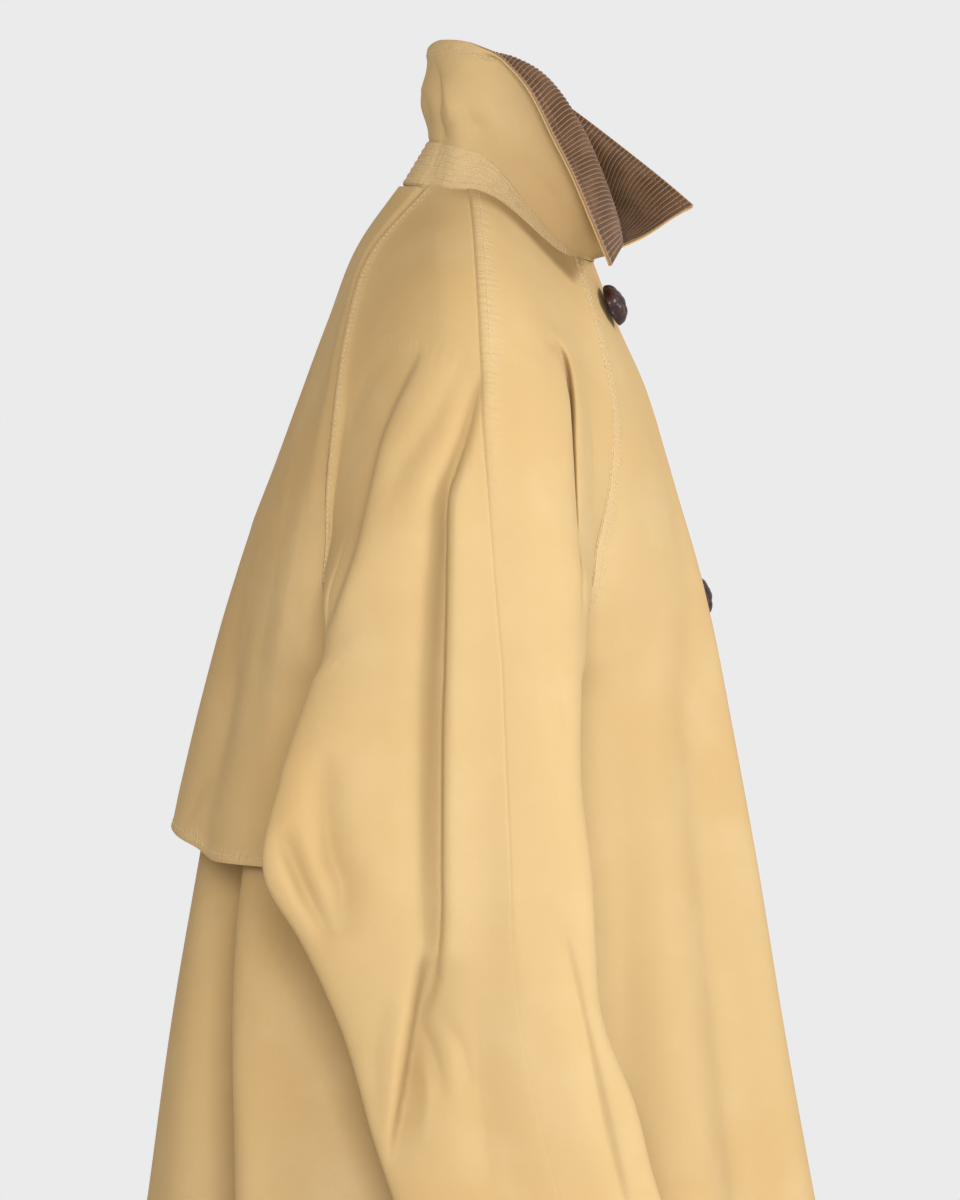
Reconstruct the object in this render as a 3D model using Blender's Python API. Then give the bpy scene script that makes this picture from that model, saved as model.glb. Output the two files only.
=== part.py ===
"""A loose raglan car coat in its worn form: cloth walls with a stood-up collar and a back storm flap."""
import math

import bmesh
import bpy
import numpy as np
from mathutils import Vector

# Driving sizes in metres. The origin is the middle of the neck, +Z is up and the coat faces -Y.
CLOTH = 0.0016           # thickness of the coat's cotton
COLLAR_CLOTH = 0.0012    # thickness of each of the collar leaf's two layers
SEAM = 0.0003            # gap between two pieces at a seam
MICROMETRES = 1e6        # in a metre, to match the points that panels share
UNDERARM_OPENING = 4     # times that gap where four seams meet under the arm
LAP = 0.025              # reach of each front past the centre line
LAP_CLEARANCE = 0.0006   # gap between the two fronts where they lap
LAP_STEP_START = 1.06    # where the left front starts to step in, as a share of the lap
LAP_STEP_SHARE = 0.16    # width of that step, as a share of the rest of the front
BUTTON_RADIUS = 0.0145
BUTTON_DOME = 0.0085     # height of a button above its rim
BUTTON_BACK = 0.0022     # depth of a button below its rim
BUTTON_LOBES = 4         # straps that show round a button's braid
BUTTON_RELIEF = 0.05     # height of the braid as a share of the radius
BUTTON_SEGMENTS = 16
BUTTON_RINGS = 8
# Each button's height on the centre front, and its place left of the centre line: the top of the
# front is drawn round to the right by the closed collar.
BUTTONS = (
    (-0.085, -0.024),
    (-0.286, 0.010),
    (-0.495, 0.008),
    (-0.704, 0.008),
)
BUTTON_PATCH = 0.01      # half size, in rows and across, of the patch that a button's facing is read on

# Grid steps: rows run from the neck to the underarm and on to the hem or cuff, columns across a panel.
SHOULDER_STEPS = 14
SHOULDER_CROWDING = 1.15  # above 1, the rows crowd towards the neck
SKIRT_STEPS = 10
ARM_STEPS = 13
BACK_STEPS = 24
FRONT_STEPS = 9
CENTRE_COLUMN = 2         # column of a front's grid that runs down the centre line
SLEEVE_STEPS = 11
COLLAR_STEPS = 38


def curve_through(knots, values, places):
    """The smooth curve through the values at the knots, read at the places."""
    knots = np.asarray(knots, dtype=float)
    values = np.asarray(values, dtype=float)
    places = np.clip(np.asarray(places, dtype=float), knots[0], knots[-1])
    slopes = np.gradient(values, knots, axis=0)
    left = np.clip(np.searchsorted(knots, places, side="right") - 1, 0, len(knots) - 2)
    shape = places.shape + (1,) * (values.ndim - 1)
    step = (knots[left + 1] - knots[left]).reshape(shape)
    s = (places - knots[left]).reshape(shape) / step
    from_left = (1 + 2 * s) * (1 - s) ** 2 * values[left] + s * (1 - s) ** 2 * step * slopes[left]
    from_right = s * s * (3 - 2 * s) * values[left + 1] - s * s * (1 - s) * step * slopes[left + 1]
    return from_left + from_right


class Table:
    """Sizes in rows under named columns, read as smooth curves of the first column."""

    def __init__(self, columns, *rows):
        self.columns = columns.split()
        self.rows = np.array(rows, dtype=float)

    def read(self, names, places):
        picked = [self.columns.index(name) for name in names.split()]
        values = curve_through(self.rows[:, 0], self.rows[:, picked], places)
        return values if len(picked) > 1 else values[..., 0]


# Body sections. Row 0 is the neck seam, row 1 the underarm and row 2 the hem.
CENTRE_BACK = Table(
    "row y z",
    (0.00, 0.0540, 0.004),
    (0.12, 0.0805, -0.036),
    (0.30, 0.1020, -0.094),
    (0.55, 0.1310, -0.182),
    (0.80, 0.1590, -0.268),
    (1.00, 0.1780, -0.357),
    (1.16, 0.1960, -0.460),
    (1.34, 0.2156, -0.576),
    (1.54, 0.2330, -0.704),
    (2.00, 0.2770, -1.000),
)
CENTRE_FRONT = Table(
    "row y z",
    (0.00, -0.0800, -0.050),
    (0.12, -0.0950, -0.090),
    (0.30, -0.1165, -0.140),
    (0.55, -0.1380, -0.220),
    (0.80, -0.1560, -0.290),
    (1.00, -0.1705, -0.357),
    (1.16, -0.1900, -0.460),
    (1.34, -0.2095, -0.576),
    (1.54, -0.2320, -0.704),
    (2.00, -0.2840, -1.000),
)
BACK_RAGLAN = Table(
    "row out y z",
    (0.00, 0.052, 0.037, 0.002),
    (0.15, 0.085, 0.077, -0.045),
    (0.30, 0.118, 0.092, -0.090),
    (0.50, 0.155, 0.103, -0.165),
    (0.70, 0.182, 0.107, -0.240),
    (0.85, 0.195, 0.100, -0.300),
    (0.93, 0.200, 0.068, -0.338),
    (1.00, 0.202, 0.018, -0.357),
)
FRONT_RAGLAN = Table(
    "row out y z",
    (0.00, 0.044, -0.066, -0.047),
    (0.30, 0.095, -0.084, -0.112),
    (0.45, 0.125, -0.092, -0.157),
    (0.60, 0.150, -0.090, -0.203),
    (0.75, 0.170, -0.081, -0.247),
    (0.88, 0.190, -0.066, -0.300),
    (0.95, 0.199, -0.032, -0.340),
    (1.00, 0.202, 0.018, -0.357),
)
SIDE_SEAM = Table(
    "row out y z",
    (1.00, 0.202, 0.018, -0.357),
    (1.16, 0.222, 0.016, -0.460),
    (1.34, 0.238, 0.012, -0.576),
    (1.54, 0.258, 0.006, -0.704),
    (2.00, 0.300, -0.003, -1.000),
)
# The angle that a panel's arc turns through between its centre line and its edge.
ARC = Table(
    "row back front",
    (0.00, 1.20, 0.95),
    (0.15, 0.95, 0.85),
    (0.30, 0.82, 0.76),
    (0.45, 0.84, 0.79),
    (0.60, 0.98, 0.89),
    (0.75, 1.17, 1.04),
    (0.88, 1.35, 1.17),
    (0.95, 1.46, 1.24),
    (1.00, 1.57, 1.30),
    (1.16, 1.57, 1.43),
    (1.34, 1.57, 1.54),
    (1.54, 1.57, 1.57),
    (2.00, 1.57, 1.57),
)
# The side that the front's cloth hangs from away from its seams, without the corner under the arm.
FRONT_HANG = Table(
    "row out y z",
    (0.00, 0.044, -0.066, -0.047),
    (0.30, 0.095, -0.084, -0.112),
    (0.45, 0.125, -0.092, -0.157),
    (0.60, 0.150, -0.090, -0.203),
    (0.75, 0.171, -0.080, -0.249),
    (0.90, 0.188, -0.055, -0.308),
    (1.00, 0.200, -0.035, -0.357),
    (1.16, 0.220, -0.010, -0.460),
    (1.34, 0.238, 0.006, -0.576),
    (1.54, 0.258, 0.006, -0.704),
    (2.00, 0.300, -0.003, -1.000),
)
FRONT_HANG_SHARE = 0.6   # share of a front over which its cloth hangs so
# Flutes of the skirt, down the coat: their place and half width across a panel, mirrored, and their push.
FLUTE_COLUMNS = "row place width push"
FLUTES = {
    "back": (
        Table(FLUTE_COLUMNS, (0.70, 0.25, 0.09, 0.000), (1.00, 0.26, 0.09, -0.020), (1.19, 0.29, 0.09, -0.040),
              (1.35, 0.36, 0.09, -0.050), (1.50, 0.42, 0.09, -0.056), (2.00, 0.50, 0.09, -0.070)),
        Table(FLUTE_COLUMNS, (0.95, 0.43, 0.10, 0.000), (1.19, 0.46, 0.10, 0.012), (1.35, 0.54, 0.10, 0.030),
              (1.50, 0.595, 0.10, 0.042), (1.70, 0.635, 0.10, 0.052), (2.00, 0.67, 0.10, 0.060)),
    ),
    "front": (
        Table(FLUTE_COLUMNS, (0.30, 0.00, 0.12, 0.0), (2.00, 0.00, 0.12, -0.022)),
        Table(FLUTE_COLUMNS, (0.30, 0.22, 0.10, 0.0), (2.00, 0.22, 0.10, 0.022)),
        Table(FLUTE_COLUMNS, (0.80, 0.38, 0.10, 0.0), (2.00, 0.38, 0.10, -0.024)),
        Table(FLUTE_COLUMNS, (0.90, 0.53, 0.10, 0.0), (2.00, 0.53, 0.10, 0.008)),
        Table(FLUTE_COLUMNS, (0.92, 0.70, 0.12, 0.0), (2.00, 0.70, 0.12, -0.022)),
    ),
}
FLUTE_SEAM_SHARE = 0.1   # share of a panel, beside its seam, over which the flutes fade out

# Sleeve head: the overarm line, and the reach and turn of the cloth between it and each raglan seam.
SLEEVE_HEAD = (
    (0.00, 0.072, 0.008, -0.001, 0.028, 0.028, 45, 0.017, 0.017, 50),
    (0.20, 0.135, 0.005, -0.030, 0.035, 0.032, 50, 0.040, 0.030, 52),
    (0.40, 0.195, 0.002, -0.075, 0.046, 0.042, 54, 0.055, 0.045, 56),
    (0.60, 0.245, -0.002, -0.150, 0.060, 0.052, 60, 0.075, 0.062, 64),
    (0.80, 0.285, -0.008, -0.245, 0.066, 0.062, 84, 0.110, 0.080, 88),
    (0.92, 0.303, -0.012, -0.297, 0.070, 0.072, 120, 0.145, 0.095, 122),
)
SLEEVE_HEAD_COLUMNS = "row out y z front_top front_seam front_turn back_top back_seam back_turn"
# Sleeve below the underarm: overarm line, underarm line, front and back edges, tilt of the section.
SLEEVE_ARM = Table(
    "row out y z in_out in_y in_z front back tilt",
    (1.00, 0.315, -0.015, -0.330, 0.202, 0.018, -0.357, -0.069, 0.116, 0.00),
    (1.16, 0.333, -0.018, -0.405, 0.224, 0.022, -0.415, -0.069, 0.137, 0.00),
    (1.31, 0.346, -0.021, -0.478, 0.238, 0.026, -0.482, -0.077, 0.147, 0.00),
    (1.40, 0.349, -0.022, -0.520, 0.245, 0.022, -0.522, -0.079, 0.123, 0.00),
    (1.52, 0.352, -0.027, -0.575, 0.252, 0.010, -0.575, -0.083, 0.097, 0.05),
    (1.68, 0.356, -0.040, -0.645, 0.261, -0.010, -0.645, -0.106, 0.074, 0.15),
    (1.84, 0.361, -0.056, -0.708, 0.270, -0.034, -0.708, -0.121, 0.049, 0.25),
    (2.00, 0.366, -0.075, -0.770, 0.279, -0.058, -0.770, -0.143, 0.024, 0.33),
)
EDGE_COLUMNS = {"overarm": (0, 1), "right_seam": (0, 1), "seam": (-1, -2)}
UNDERARM_TURN = 150.0    # degrees between the underarm seam's cloth and the straight way across it
HANDLE_REACH = 0.75      # share of its handles' length that a cubic arc bulges by
# Sleeve folds seen from the side: start, middle and end as y and z, half width, and push.
SLEEVE_FOLDS = (
    (-0.055, -0.125, -0.061, -0.205, -0.066, -0.290, 0.015, -0.014),
    (0.046, -0.120, 0.082, -0.215, 0.112, -0.300, 0.014, -0.014),
    (0.002, -0.150, 0.021, -0.240, 0.027, -0.340, 0.018, -0.009),
    (0.027, -0.340, 0.028, -0.450, 0.036, -0.560, 0.020, -0.013),
    (0.036, -0.560, 0.050, -0.610, 0.060, -0.665, 0.016, -0.009),
)
FOLD_SAMPLES = 16
FOLD_END_SHARE = 0.06    # share of a fold's length at which its ends stop getting shallower
FOLD_SEAM_SHARE = 0.2    # share of a sleeve half, beside its seam, over which the folds fade out

# The storm flap: how far it swings clear of the back, its edge across the back, and its hem's row.
CAPE = Table(
    "row swing edge",
    (0.000, 0.0000, 0.990),
    (0.120, 0.0006, 0.990),
    (0.300, 0.0020, 0.990),
    (0.550, 0.0050, 0.988),
    (0.800, 0.0090, 0.985),
    (0.900, 0.0120, 0.930),
    (1.000, 0.0150, 0.850),
    (1.060, 0.0170, 0.810),
    (1.200, 0.0215, 0.800),
)
CAPE_TOP_ROW = 0.008
CAPE_LOOSE_ROW = 1.07
CAPE_HEM_CENTRE_ROW = 1.145
CAPE_HEM_SIDE_ROW = 1.184
CAPE_HEM_CURVE = 0.34    # share of the back over which the flap's hem falls from its centre
CAPE_SIDE_SWING = 0.3    # share of the swing that is left at the flap's side edges
CAPE_SEAM_SHARE = 0.3    # share of the flap, beside its raglan seam, over which the swing starts
CAPE_FLUTES = 0.3        # share of the back's flutes that the flap over it follows
CAPE_SEAM_END_ROW = 0.8  # row at which the flap's sides start to come free of that seam

# Collar. Place 0 is the centre back and place 1 the front end, on either side.
COLLAR_END = 0.985
STAND = Table(
    "place height lean",
    (0.00, 0.0300, -0.0180),
    (0.35, 0.0285, -0.0050),
    (0.55, 0.0200, 0.0020),
    (0.72, 0.0085, 0.0010),
    (0.86, 0.0030, 0.0000),
    (1.00, 0.0020, 0.0000),
)
# The leaf's crest and free edge: rolled outwards on the right, spread forwards on the left.
RIGHT_LEAF = Table(
    "place crest_x crest_y crest_z edge_x edge_y edge_z",
    (0.00, 0.000, 0.0390, 0.084, 0.000, 0.0360, 0.100),
    (0.20, -0.047, 0.0290, 0.088, -0.049, 0.0260, 0.104),
    (0.38, -0.074, 0.0080, 0.085, -0.078, 0.0040, 0.100),
    (0.52, -0.082, -0.0220, 0.087, -0.092, -0.0175, 0.086),
    (0.62, -0.083, -0.0460, 0.074, -0.101, -0.0340, 0.066),
    (0.72, -0.079, -0.0670, 0.045, -0.104, -0.0500, 0.034),
    (0.82, -0.069, -0.0820, 0.012, -0.099, -0.0640, 0.006),
    (0.91, -0.054, -0.0930, -0.020, -0.088, -0.0780, -0.027),
    (1.00, -0.038, -0.0980, -0.044, -0.071, -0.0920, -0.060),
)
LEFT_LEAF = Table(
    "place crest_x crest_y crest_z edge_x edge_y edge_z",
    (0.00, 0.000, 0.0390, 0.084, 0.000, 0.0360, 0.100),
    (0.20, 0.047, 0.0290, 0.088, 0.049, 0.0260, 0.104),
    (0.38, 0.074, 0.0080, 0.085, 0.078, 0.0040, 0.099),
    (0.52, 0.082, -0.0240, 0.070, 0.087, -0.0290, 0.083),
    (0.65, 0.078, -0.0580, 0.047, 0.085, -0.0640, 0.058),
    (0.78, 0.066, -0.0920, 0.020, 0.076, -0.1000, 0.030),
    (0.90, 0.050, -0.1200, -0.005, 0.061, -0.1310, 0.005),
    (1.00, 0.038, -0.1380, -0.022, 0.046, -0.1530, -0.014),
)
LEAF_BULGE = 0.006       # fullness of the leaf between the stand and the crest
LEAF_PLACES = (0.0, 0.25, 0.5, 0.75, 0.92, 1.0, 1.08, 1.22, 1.45)
LEAF_KNOTS = (0.0, 0.5, 1.0, 1.45)

KHAKI = ("khaki_cotton", (0.72, 0.50, 0.20, 1.0), 0.78)
CORDUROY = ("brown_corduroy", (0.14, 0.08, 0.045, 1.0), 0.90)
LEATHER = ("brown_leather", (0.055, 0.026, 0.014, 1.0), 0.45)


def panel_edge(raglan, rows):
    """A body panel's outer edge: its raglan seam to the underarm, then the side seam."""
    upper = raglan.read("out y z", rows)
    lower = SIDE_SEAM.read("out y z", rows)
    return np.where(rows[..., None] < 1, upper, lower)


def smooth(share):
    """A share from 0 to 1 that starts and ends gently."""
    share = np.clip(share, 0, 1)
    return share * share * (3 - 2 * share)


def panel_arc(name, rows):
    """The angle of a panel's arc, a quarter turn at most."""
    return np.minimum(ARC.read(name, rows), math.pi / 2)


def body_panel(name, rows, across, fluted=1.0):
    """Points of the back or the whole front: across is -1 at the right edge, 0 at the centre, 1 left."""
    rows, across = np.broadcast_arrays(rows, across)
    is_back = name == "back"
    centre = (CENTRE_BACK if is_back else CENTRE_FRONT).read("y z", rows)
    edge = panel_edge(BACK_RAGLAN if is_back else FRONT_RAGLAN, rows)
    if not is_back:
        hang = FRONT_HANG.read("out y z", rows)
        at_seam = smooth((np.abs(across) - FRONT_HANG_SHARE) / (1 - FRONT_HANG_SHARE))
        edge = hang + (edge - hang) * at_seam[..., None]
    arc = panel_arc(name, rows)
    turn = across * arc
    nearness = (np.cos(turn) - np.cos(arc)) / (1 - np.cos(arc))
    x = edge[..., 0] * np.sin(turn) / np.sin(arc)
    y = edge[..., 1] + (centre[..., 0] - edge[..., 1]) * nearness
    z = edge[..., 2] + (centre[..., 1] - edge[..., 2]) * nearness
    push = np.zeros(rows.shape)
    for flute in FLUTES[name]:
        place, width, depth = np.moveaxis(flute.read("place width push", rows), -1, 0)
        push = push + depth * np.exp(-(((np.abs(across) - place) / width) ** 2))
    push = push * fluted * np.clip((1 - np.abs(across)) / FLUTE_SEAM_SHARE, 0, 1)
    facing = 1 if is_back else -1
    x = x + push * np.sin(across * math.pi / 2)
    y = y + push * np.cos(across * math.pi / 2) * facing
    return np.stack([x, y, z], axis=-1)


def lap_across(rows):
    """The share of the front's arc that reaches LAP past the centre line."""
    edge = panel_edge(FRONT_RAGLAN, rows)
    arc = panel_arc("front", rows)
    return np.arcsin(LAP * np.sin(arc) / edge[..., 0]) / arc


def sleeve_head():
    """The sleeve head's table, ended by the row that the arm begins with."""
    arm = dict(zip(SLEEVE_ARM.columns, SLEEVE_ARM.rows[0]))
    lean = math.cos(math.radians(180 - UNDERARM_TURN)) * HANDLE_REACH
    last = (
        1.0, arm["out"], arm["y"], arm["z"],
        (arm["y"] - arm["front"]) / HANDLE_REACH, (arm["in_y"] - arm["front"]) / lean, UNDERARM_TURN,
        (arm["back"] - arm["y"]) / HANDLE_REACH, (arm["back"] - arm["in_y"]) / lean, UNDERARM_TURN,
    )
    return Table(SLEEVE_HEAD_COLUMNS, *SLEEVE_HEAD, last)


def sleeve_half(name, rows, along):
    """Points of the right sleeve's front or back half, from the overarm line (0) to its seam (1)."""
    rows, along = np.broadcast_arrays(rows, along)
    facing = 1 if name == "back" else -1
    head = sleeve_head()
    on_arm = rows >= 1
    raglan = BACK_RAGLAN if name == "back" else FRONT_RAGLAN
    underarm = SLEEVE_ARM.read("in_out in_y in_z", rows)
    top = np.where(on_arm[..., None], SLEEVE_ARM.read("out y z", rows), head.read("out y z", rows))
    seam = np.where(on_arm[..., None], underarm, raglan.read("out y z", rows))
    reach = SLEEVE_ARM.read(name, rows)
    lean = math.cos(math.radians(180 - UNDERARM_TURN)) * HANDLE_REACH
    top_reach = np.where(on_arm, np.abs(reach - top[..., 1]) / HANDLE_REACH, head.read(name + "_top", rows))
    seam_reach = np.where(on_arm, np.abs(reach - seam[..., 1]) / lean, head.read(name + "_seam", rows))
    turn = np.radians(np.where(on_arm, UNDERARM_TURN, head.read(name + "_turn", rows)))
    top_handle = top.copy()
    top_handle[..., 1] += facing * top_reach
    seam_handle = seam.copy()
    seam_handle[..., 0] += np.sin(turn) * seam_reach
    seam_handle[..., 1] -= facing * np.cos(turn) * seam_reach
    t = along[..., None]
    points = ((1 - t) ** 3 * top + 3 * (1 - t) ** 2 * t * top_handle
              + 3 * (1 - t) * t ** 2 * seam_handle + t ** 3 * seam)
    middle = SLEEVE_ARM.read("front back", rows).mean(axis=-1)
    points[..., 2] += np.where(on_arm, SLEEVE_ARM.read("tilt", rows) * (middle - points[..., 1]), 0)
    points[..., 0] *= -1
    return points


def grid_normals(grid, facing):
    """Area-weighted normals at a grid's points, facing 1 or -1 as the panel's columns run."""
    across = grid[1:, 1:] - grid[:-1, :-1]
    down = grid[1:, :-1] - grid[:-1, 1:]
    faces = np.cross(across, down) * facing
    normals = np.zeros_like(grid)
    for row in (slice(None, -1), slice(1, None)):
        for column in (slice(None, -1), slice(1, None)):
            normals[row, column] += faces
    return normals


def unit(vectors):
    return vectors / np.linalg.norm(vectors, axis=-1, keepdims=True)


def shared_normals(panels):
    """Unit normals of (grid, facing) panels, averaged where panels meet at a seam."""
    own = [grid_normals(grid, facing) for grid, facing in panels]
    totals = {}
    keys = [np.round(grid * MICROMETRES).astype(int) for grid, _ in panels]
    for key, normals in zip(keys, own):
        for place, normal in zip(map(tuple, key.reshape(-1, 3)), normals.reshape(-1, 3)):
            totals[place] = totals.get(place, 0) + normal
    return [
        unit(np.array([totals[tuple(place)] for place in key.reshape(-1, 3)]).reshape(key.shape))
        for key in keys
    ]


def sleeve_folded(points, normals, along):
    """The right sleeve's points pushed in along its folds, where its cloth faces outwards."""
    outward = np.clip(-2 * normals[..., 0], 0, 1) * np.clip((1 - along) / FOLD_SEAM_SHARE, 0, 1)
    push = np.zeros(points.shape[:-1])
    share = np.linspace(0, 1, FOLD_SAMPLES)
    for y0, z0, y1, z1, y2, z2, width, depth in SLEEVE_FOLDS:
        path = curve_through((0, 0.5, 1), ((y0, z0), (y1, z1), (y2, z2)), share)
        away = np.linalg.norm(points[..., None, 1:] - path, axis=-1)
        nearest = away.argmin(axis=-1)
        taper = np.sqrt(np.sin(math.pi * np.clip(share[nearest], FOLD_END_SHARE, 1 - FOLD_END_SHARE)))
        push = push + depth * taper * np.exp(-((away.min(axis=-1) / width) ** 2))
    return points + normals * (push * outward)[..., None]


def drawn_in(grid, edges):
    """How far the points at the named edges move in, along the cloth, to open a seam's gap."""
    moves = np.zeros_like(grid)
    for edge in edges:
        column, neighbour = EDGE_COLUMNS[edge]
        step = unit(grid[:, neighbour] - grid[:, column]) * SEAM
        if edge != "overarm":
            step[SHOULDER_STEPS] *= UNDERARM_OPENING
        moves[:, column] += step
    return moves


def finish(name, bm, look):
    """A named object in the coat's collection, with its own material."""
    colour_name, colour, roughness = look
    mesh = bpy.data.meshes.new(name)
    bm.to_mesh(mesh)
    bm.free()
    mesh.shade_smooth()
    material = bpy.data.materials.new(name + "_" + colour_name)
    material.use_nodes = True
    shader = material.node_tree.nodes["Principled BSDF"]
    shader.inputs["Base Color"].default_value = colour
    shader.inputs["Roughness"].default_value = roughness
    shader.inputs["Metallic"].default_value = 0.0
    mesh.materials.append(material)
    part = bpy.data.objects.new(name, mesh)
    coat.objects.link(part)
    return part


def cloth_wall(name, outer, inner, look):
    """A closed cloth wall between an outer and an inner grid of points."""
    rows, columns = outer.shape[:2]
    bm = bmesh.new()
    bmesh.ops.create_grid(bm, x_segments=columns - 1, y_segments=rows - 1, size=0.5)
    bmesh.ops.triangulate(bm, faces=bm.faces[:], quad_method="FIXED")
    made = bmesh.ops.extrude_face_region(bm, geom=bm.faces[:], use_keep_orig=True)
    outside = {part for part in made["geom"] if isinstance(part, bmesh.types.BMVert)}
    for vert in bm.verts:
        column = round((vert.co.x + 0.5) * (columns - 1))
        row = round((vert.co.y + 0.5) * (rows - 1))
        vert.co = (outer if vert in outside else inner)[row, column]
    bmesh.ops.recalc_face_normals(bm, faces=bm.faces[:])
    if bm.calc_volume(signed=True) < 0:
        bmesh.ops.reverse_faces(bm, faces=bm.faces[:])
    return finish(name, bm, look)


def panel_wall(name, grid, normals, edges, look=KHAKI, thickness=CLOTH):
    """A panel's wall: its outer points, and the same points moved in by the cloth's thickness."""
    moves = drawn_in(grid, edges)
    return cloth_wall(name, grid + moves, grid - normals * thickness + moves, look)


def mirrored(grid):
    return grid * np.array((-1.0, 1.0, 1.0))


def neck_ring(back_row, back_half_row, front_half_row, front_row):
    """The neck seam on the right, from the centre back to the centre front, as points by length."""
    middle = len(back_row) // 2
    line = np.concatenate([
        back_row[middle::-1], back_half_row[-2::-1], front_half_row[1:], front_row[-2::-1],
    ])
    length = np.concatenate([[0], np.cumsum(np.linalg.norm(np.diff(line, axis=0), axis=-1))])
    return lambda places: np.stack(
        [np.interp(places, length / length[-1], line[:, axis]) for axis in range(3)], axis=-1)


def collar_base(ring, places):
    """The stand's foot and top round the whole collar: places run from -1, right end, to 1, left."""
    side = np.where(places < 0, 1.0, -1.0)[..., None] * np.array((1.0, 0, 0)) + np.array((0, 1.0, 1.0))
    foot = ring(np.abs(places)) * side
    foot = foot + np.array((0, 0, SEAM))
    size = STAND.read("height lean", np.abs(places))
    rise = np.stack([np.zeros(places.shape), size[..., 1], size[..., 0]], axis=-1)
    return foot, foot + rise


def collar_leaf(top, places):
    """The leaf's outer points, from the stand's top (column 0) over the crest to the free edge."""
    on_right = (places < 0)[..., None]
    crest_names = "crest_x crest_y crest_z"
    edge_names = "edge_x edge_y edge_z"
    span = np.abs(places)
    crest = np.where(on_right, RIGHT_LEAF.read(crest_names, span), LEFT_LEAF.read(crest_names, span))
    edge = np.where(on_right, RIGHT_LEAF.read(edge_names, span), LEFT_LEAF.read(edge_names, span))
    start = top + np.array((0, 0, SEAM))
    outwards = unit((start + crest) / 2 * np.array((1.0, 1.0, 0)))
    middle = (start + crest) / 2 + outwards * LEAF_BULGE
    return np.swapaxes(curve_through(LEAF_KNOTS, (start, middle, crest, edge), LEAF_PLACES), 0, 1)


def button(name, seat, facing):
    """A domed, braided button that stands on the front at its seat."""
    bm = bmesh.new()
    bmesh.ops.create_uvsphere(
        bm, u_segments=BUTTON_SEGMENTS, v_segments=BUTTON_RINGS, radius=BUTTON_RADIUS)
    for vert in bm.verts:
        angle = math.atan2(vert.co.y, vert.co.x)
        across = math.hypot(vert.co.x, vert.co.y) / BUTTON_RADIUS
        braid = 1 + BUTTON_RELIEF * across * math.cos(BUTTON_LOBES * angle)
        height = BUTTON_DOME if vert.co.z > 0 else BUTTON_BACK
        vert.co.z *= height / BUTTON_RADIUS * braid
    part = finish(name, bm, LEATHER)
    lift = BUTTON_BACK * (1 + BUTTON_RELIEF) + SEAM
    part.location = Vector(seat) + Vector(facing) * lift
    part.rotation_euler = Vector(facing).to_track_quat("Z", "Y").to_euler()
    return part


for old in list(bpy.data.objects):
    bpy.data.objects.remove(old, do_unlink=True)
coat = bpy.data.collections.new("car_coat")
bpy.context.scene.collection.children.link(coat)

# Grids of the panels: body rows share the raglan seam's rows with the sleeves.
shoulder_rows = np.linspace(0, 1, SHOULDER_STEPS + 1) ** SHOULDER_CROWDING
body_rows = np.concatenate([shoulder_rows, np.linspace(1, 2, SKIRT_STEPS + 1)[1:]])[:, None]
sleeve_rows = np.concatenate([shoulder_rows, np.linspace(1, 2, ARM_STEPS + 1)[1:]])[:, None]
back_columns = np.linspace(-1, 1, BACK_STEPS + 1)[None, :]
sleeve_columns = np.linspace(0, 1, SLEEVE_STEPS + 1)[None, :]
lap = lap_across(body_rows)
lap_columns = lap * np.array([[-1.0, -0.5, 0.0, 0.5]])
lap_edge = lap * LAP_STEP_START
step_edge = lap_edge + (1 - lap_edge) * LAP_STEP_SHARE
open_columns = step_edge + (1 - step_edge) * np.linspace(0, 1, FRONT_STEPS + 1)[None, :]
right_columns = np.concatenate([lap_columns, lap, open_columns], axis=1)
left_columns = np.concatenate([lap_columns, lap_edge, open_columns], axis=1)

back = body_panel("back", body_rows, back_columns)
front_right = body_panel("front", body_rows, -right_columns)
front_left = body_panel("front", body_rows, left_columns)
plain_front_half = sleeve_half("front", sleeve_rows, sleeve_columns)
plain_back_half = sleeve_half("back", sleeve_rows, sleeve_columns)


def seamed(front_half, back_half):
    """Shared normals of the whole coat for a pair of right sleeve halves."""
    return shared_normals([
        (back, 1), (front_right, 1), (front_left, -1),
        (front_half, -1), (back_half, 1), (mirrored(front_half), 1), (mirrored(back_half), -1),
    ])


plain = seamed(plain_front_half, plain_back_half)
front_half = sleeve_folded(plain_front_half, plain[3], sleeve_columns)
back_half = sleeve_folded(plain_back_half, plain[4], sleeve_columns)
normals = seamed(front_half, back_half)

# The fronts: the left one steps in under the right one at the lap.
sunk = smooth((step_edge - left_columns) / (step_edge - lap_edge))
front_left_lapped = front_left - normals[2] * (sunk * (CLOTH + LAP_CLEARANCE))[..., None]

panel_wall("back", back, normals[0], ("right_seam", "seam"))
panel_wall("front_right", front_right, normals[1], ("seam",))
panel_wall("front_left", front_left_lapped, normals[2], ("seam",))
panel_wall("sleeve_right_front", front_half, normals[3], ("overarm", "seam"))
panel_wall("sleeve_right_back", back_half, normals[4], ("overarm", "seam"))
panel_wall("sleeve_left_front", mirrored(front_half), normals[5], ("overarm", "seam"))
panel_wall("sleeve_left_back", mirrored(back_half), normals[6], ("overarm", "seam"))

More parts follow.
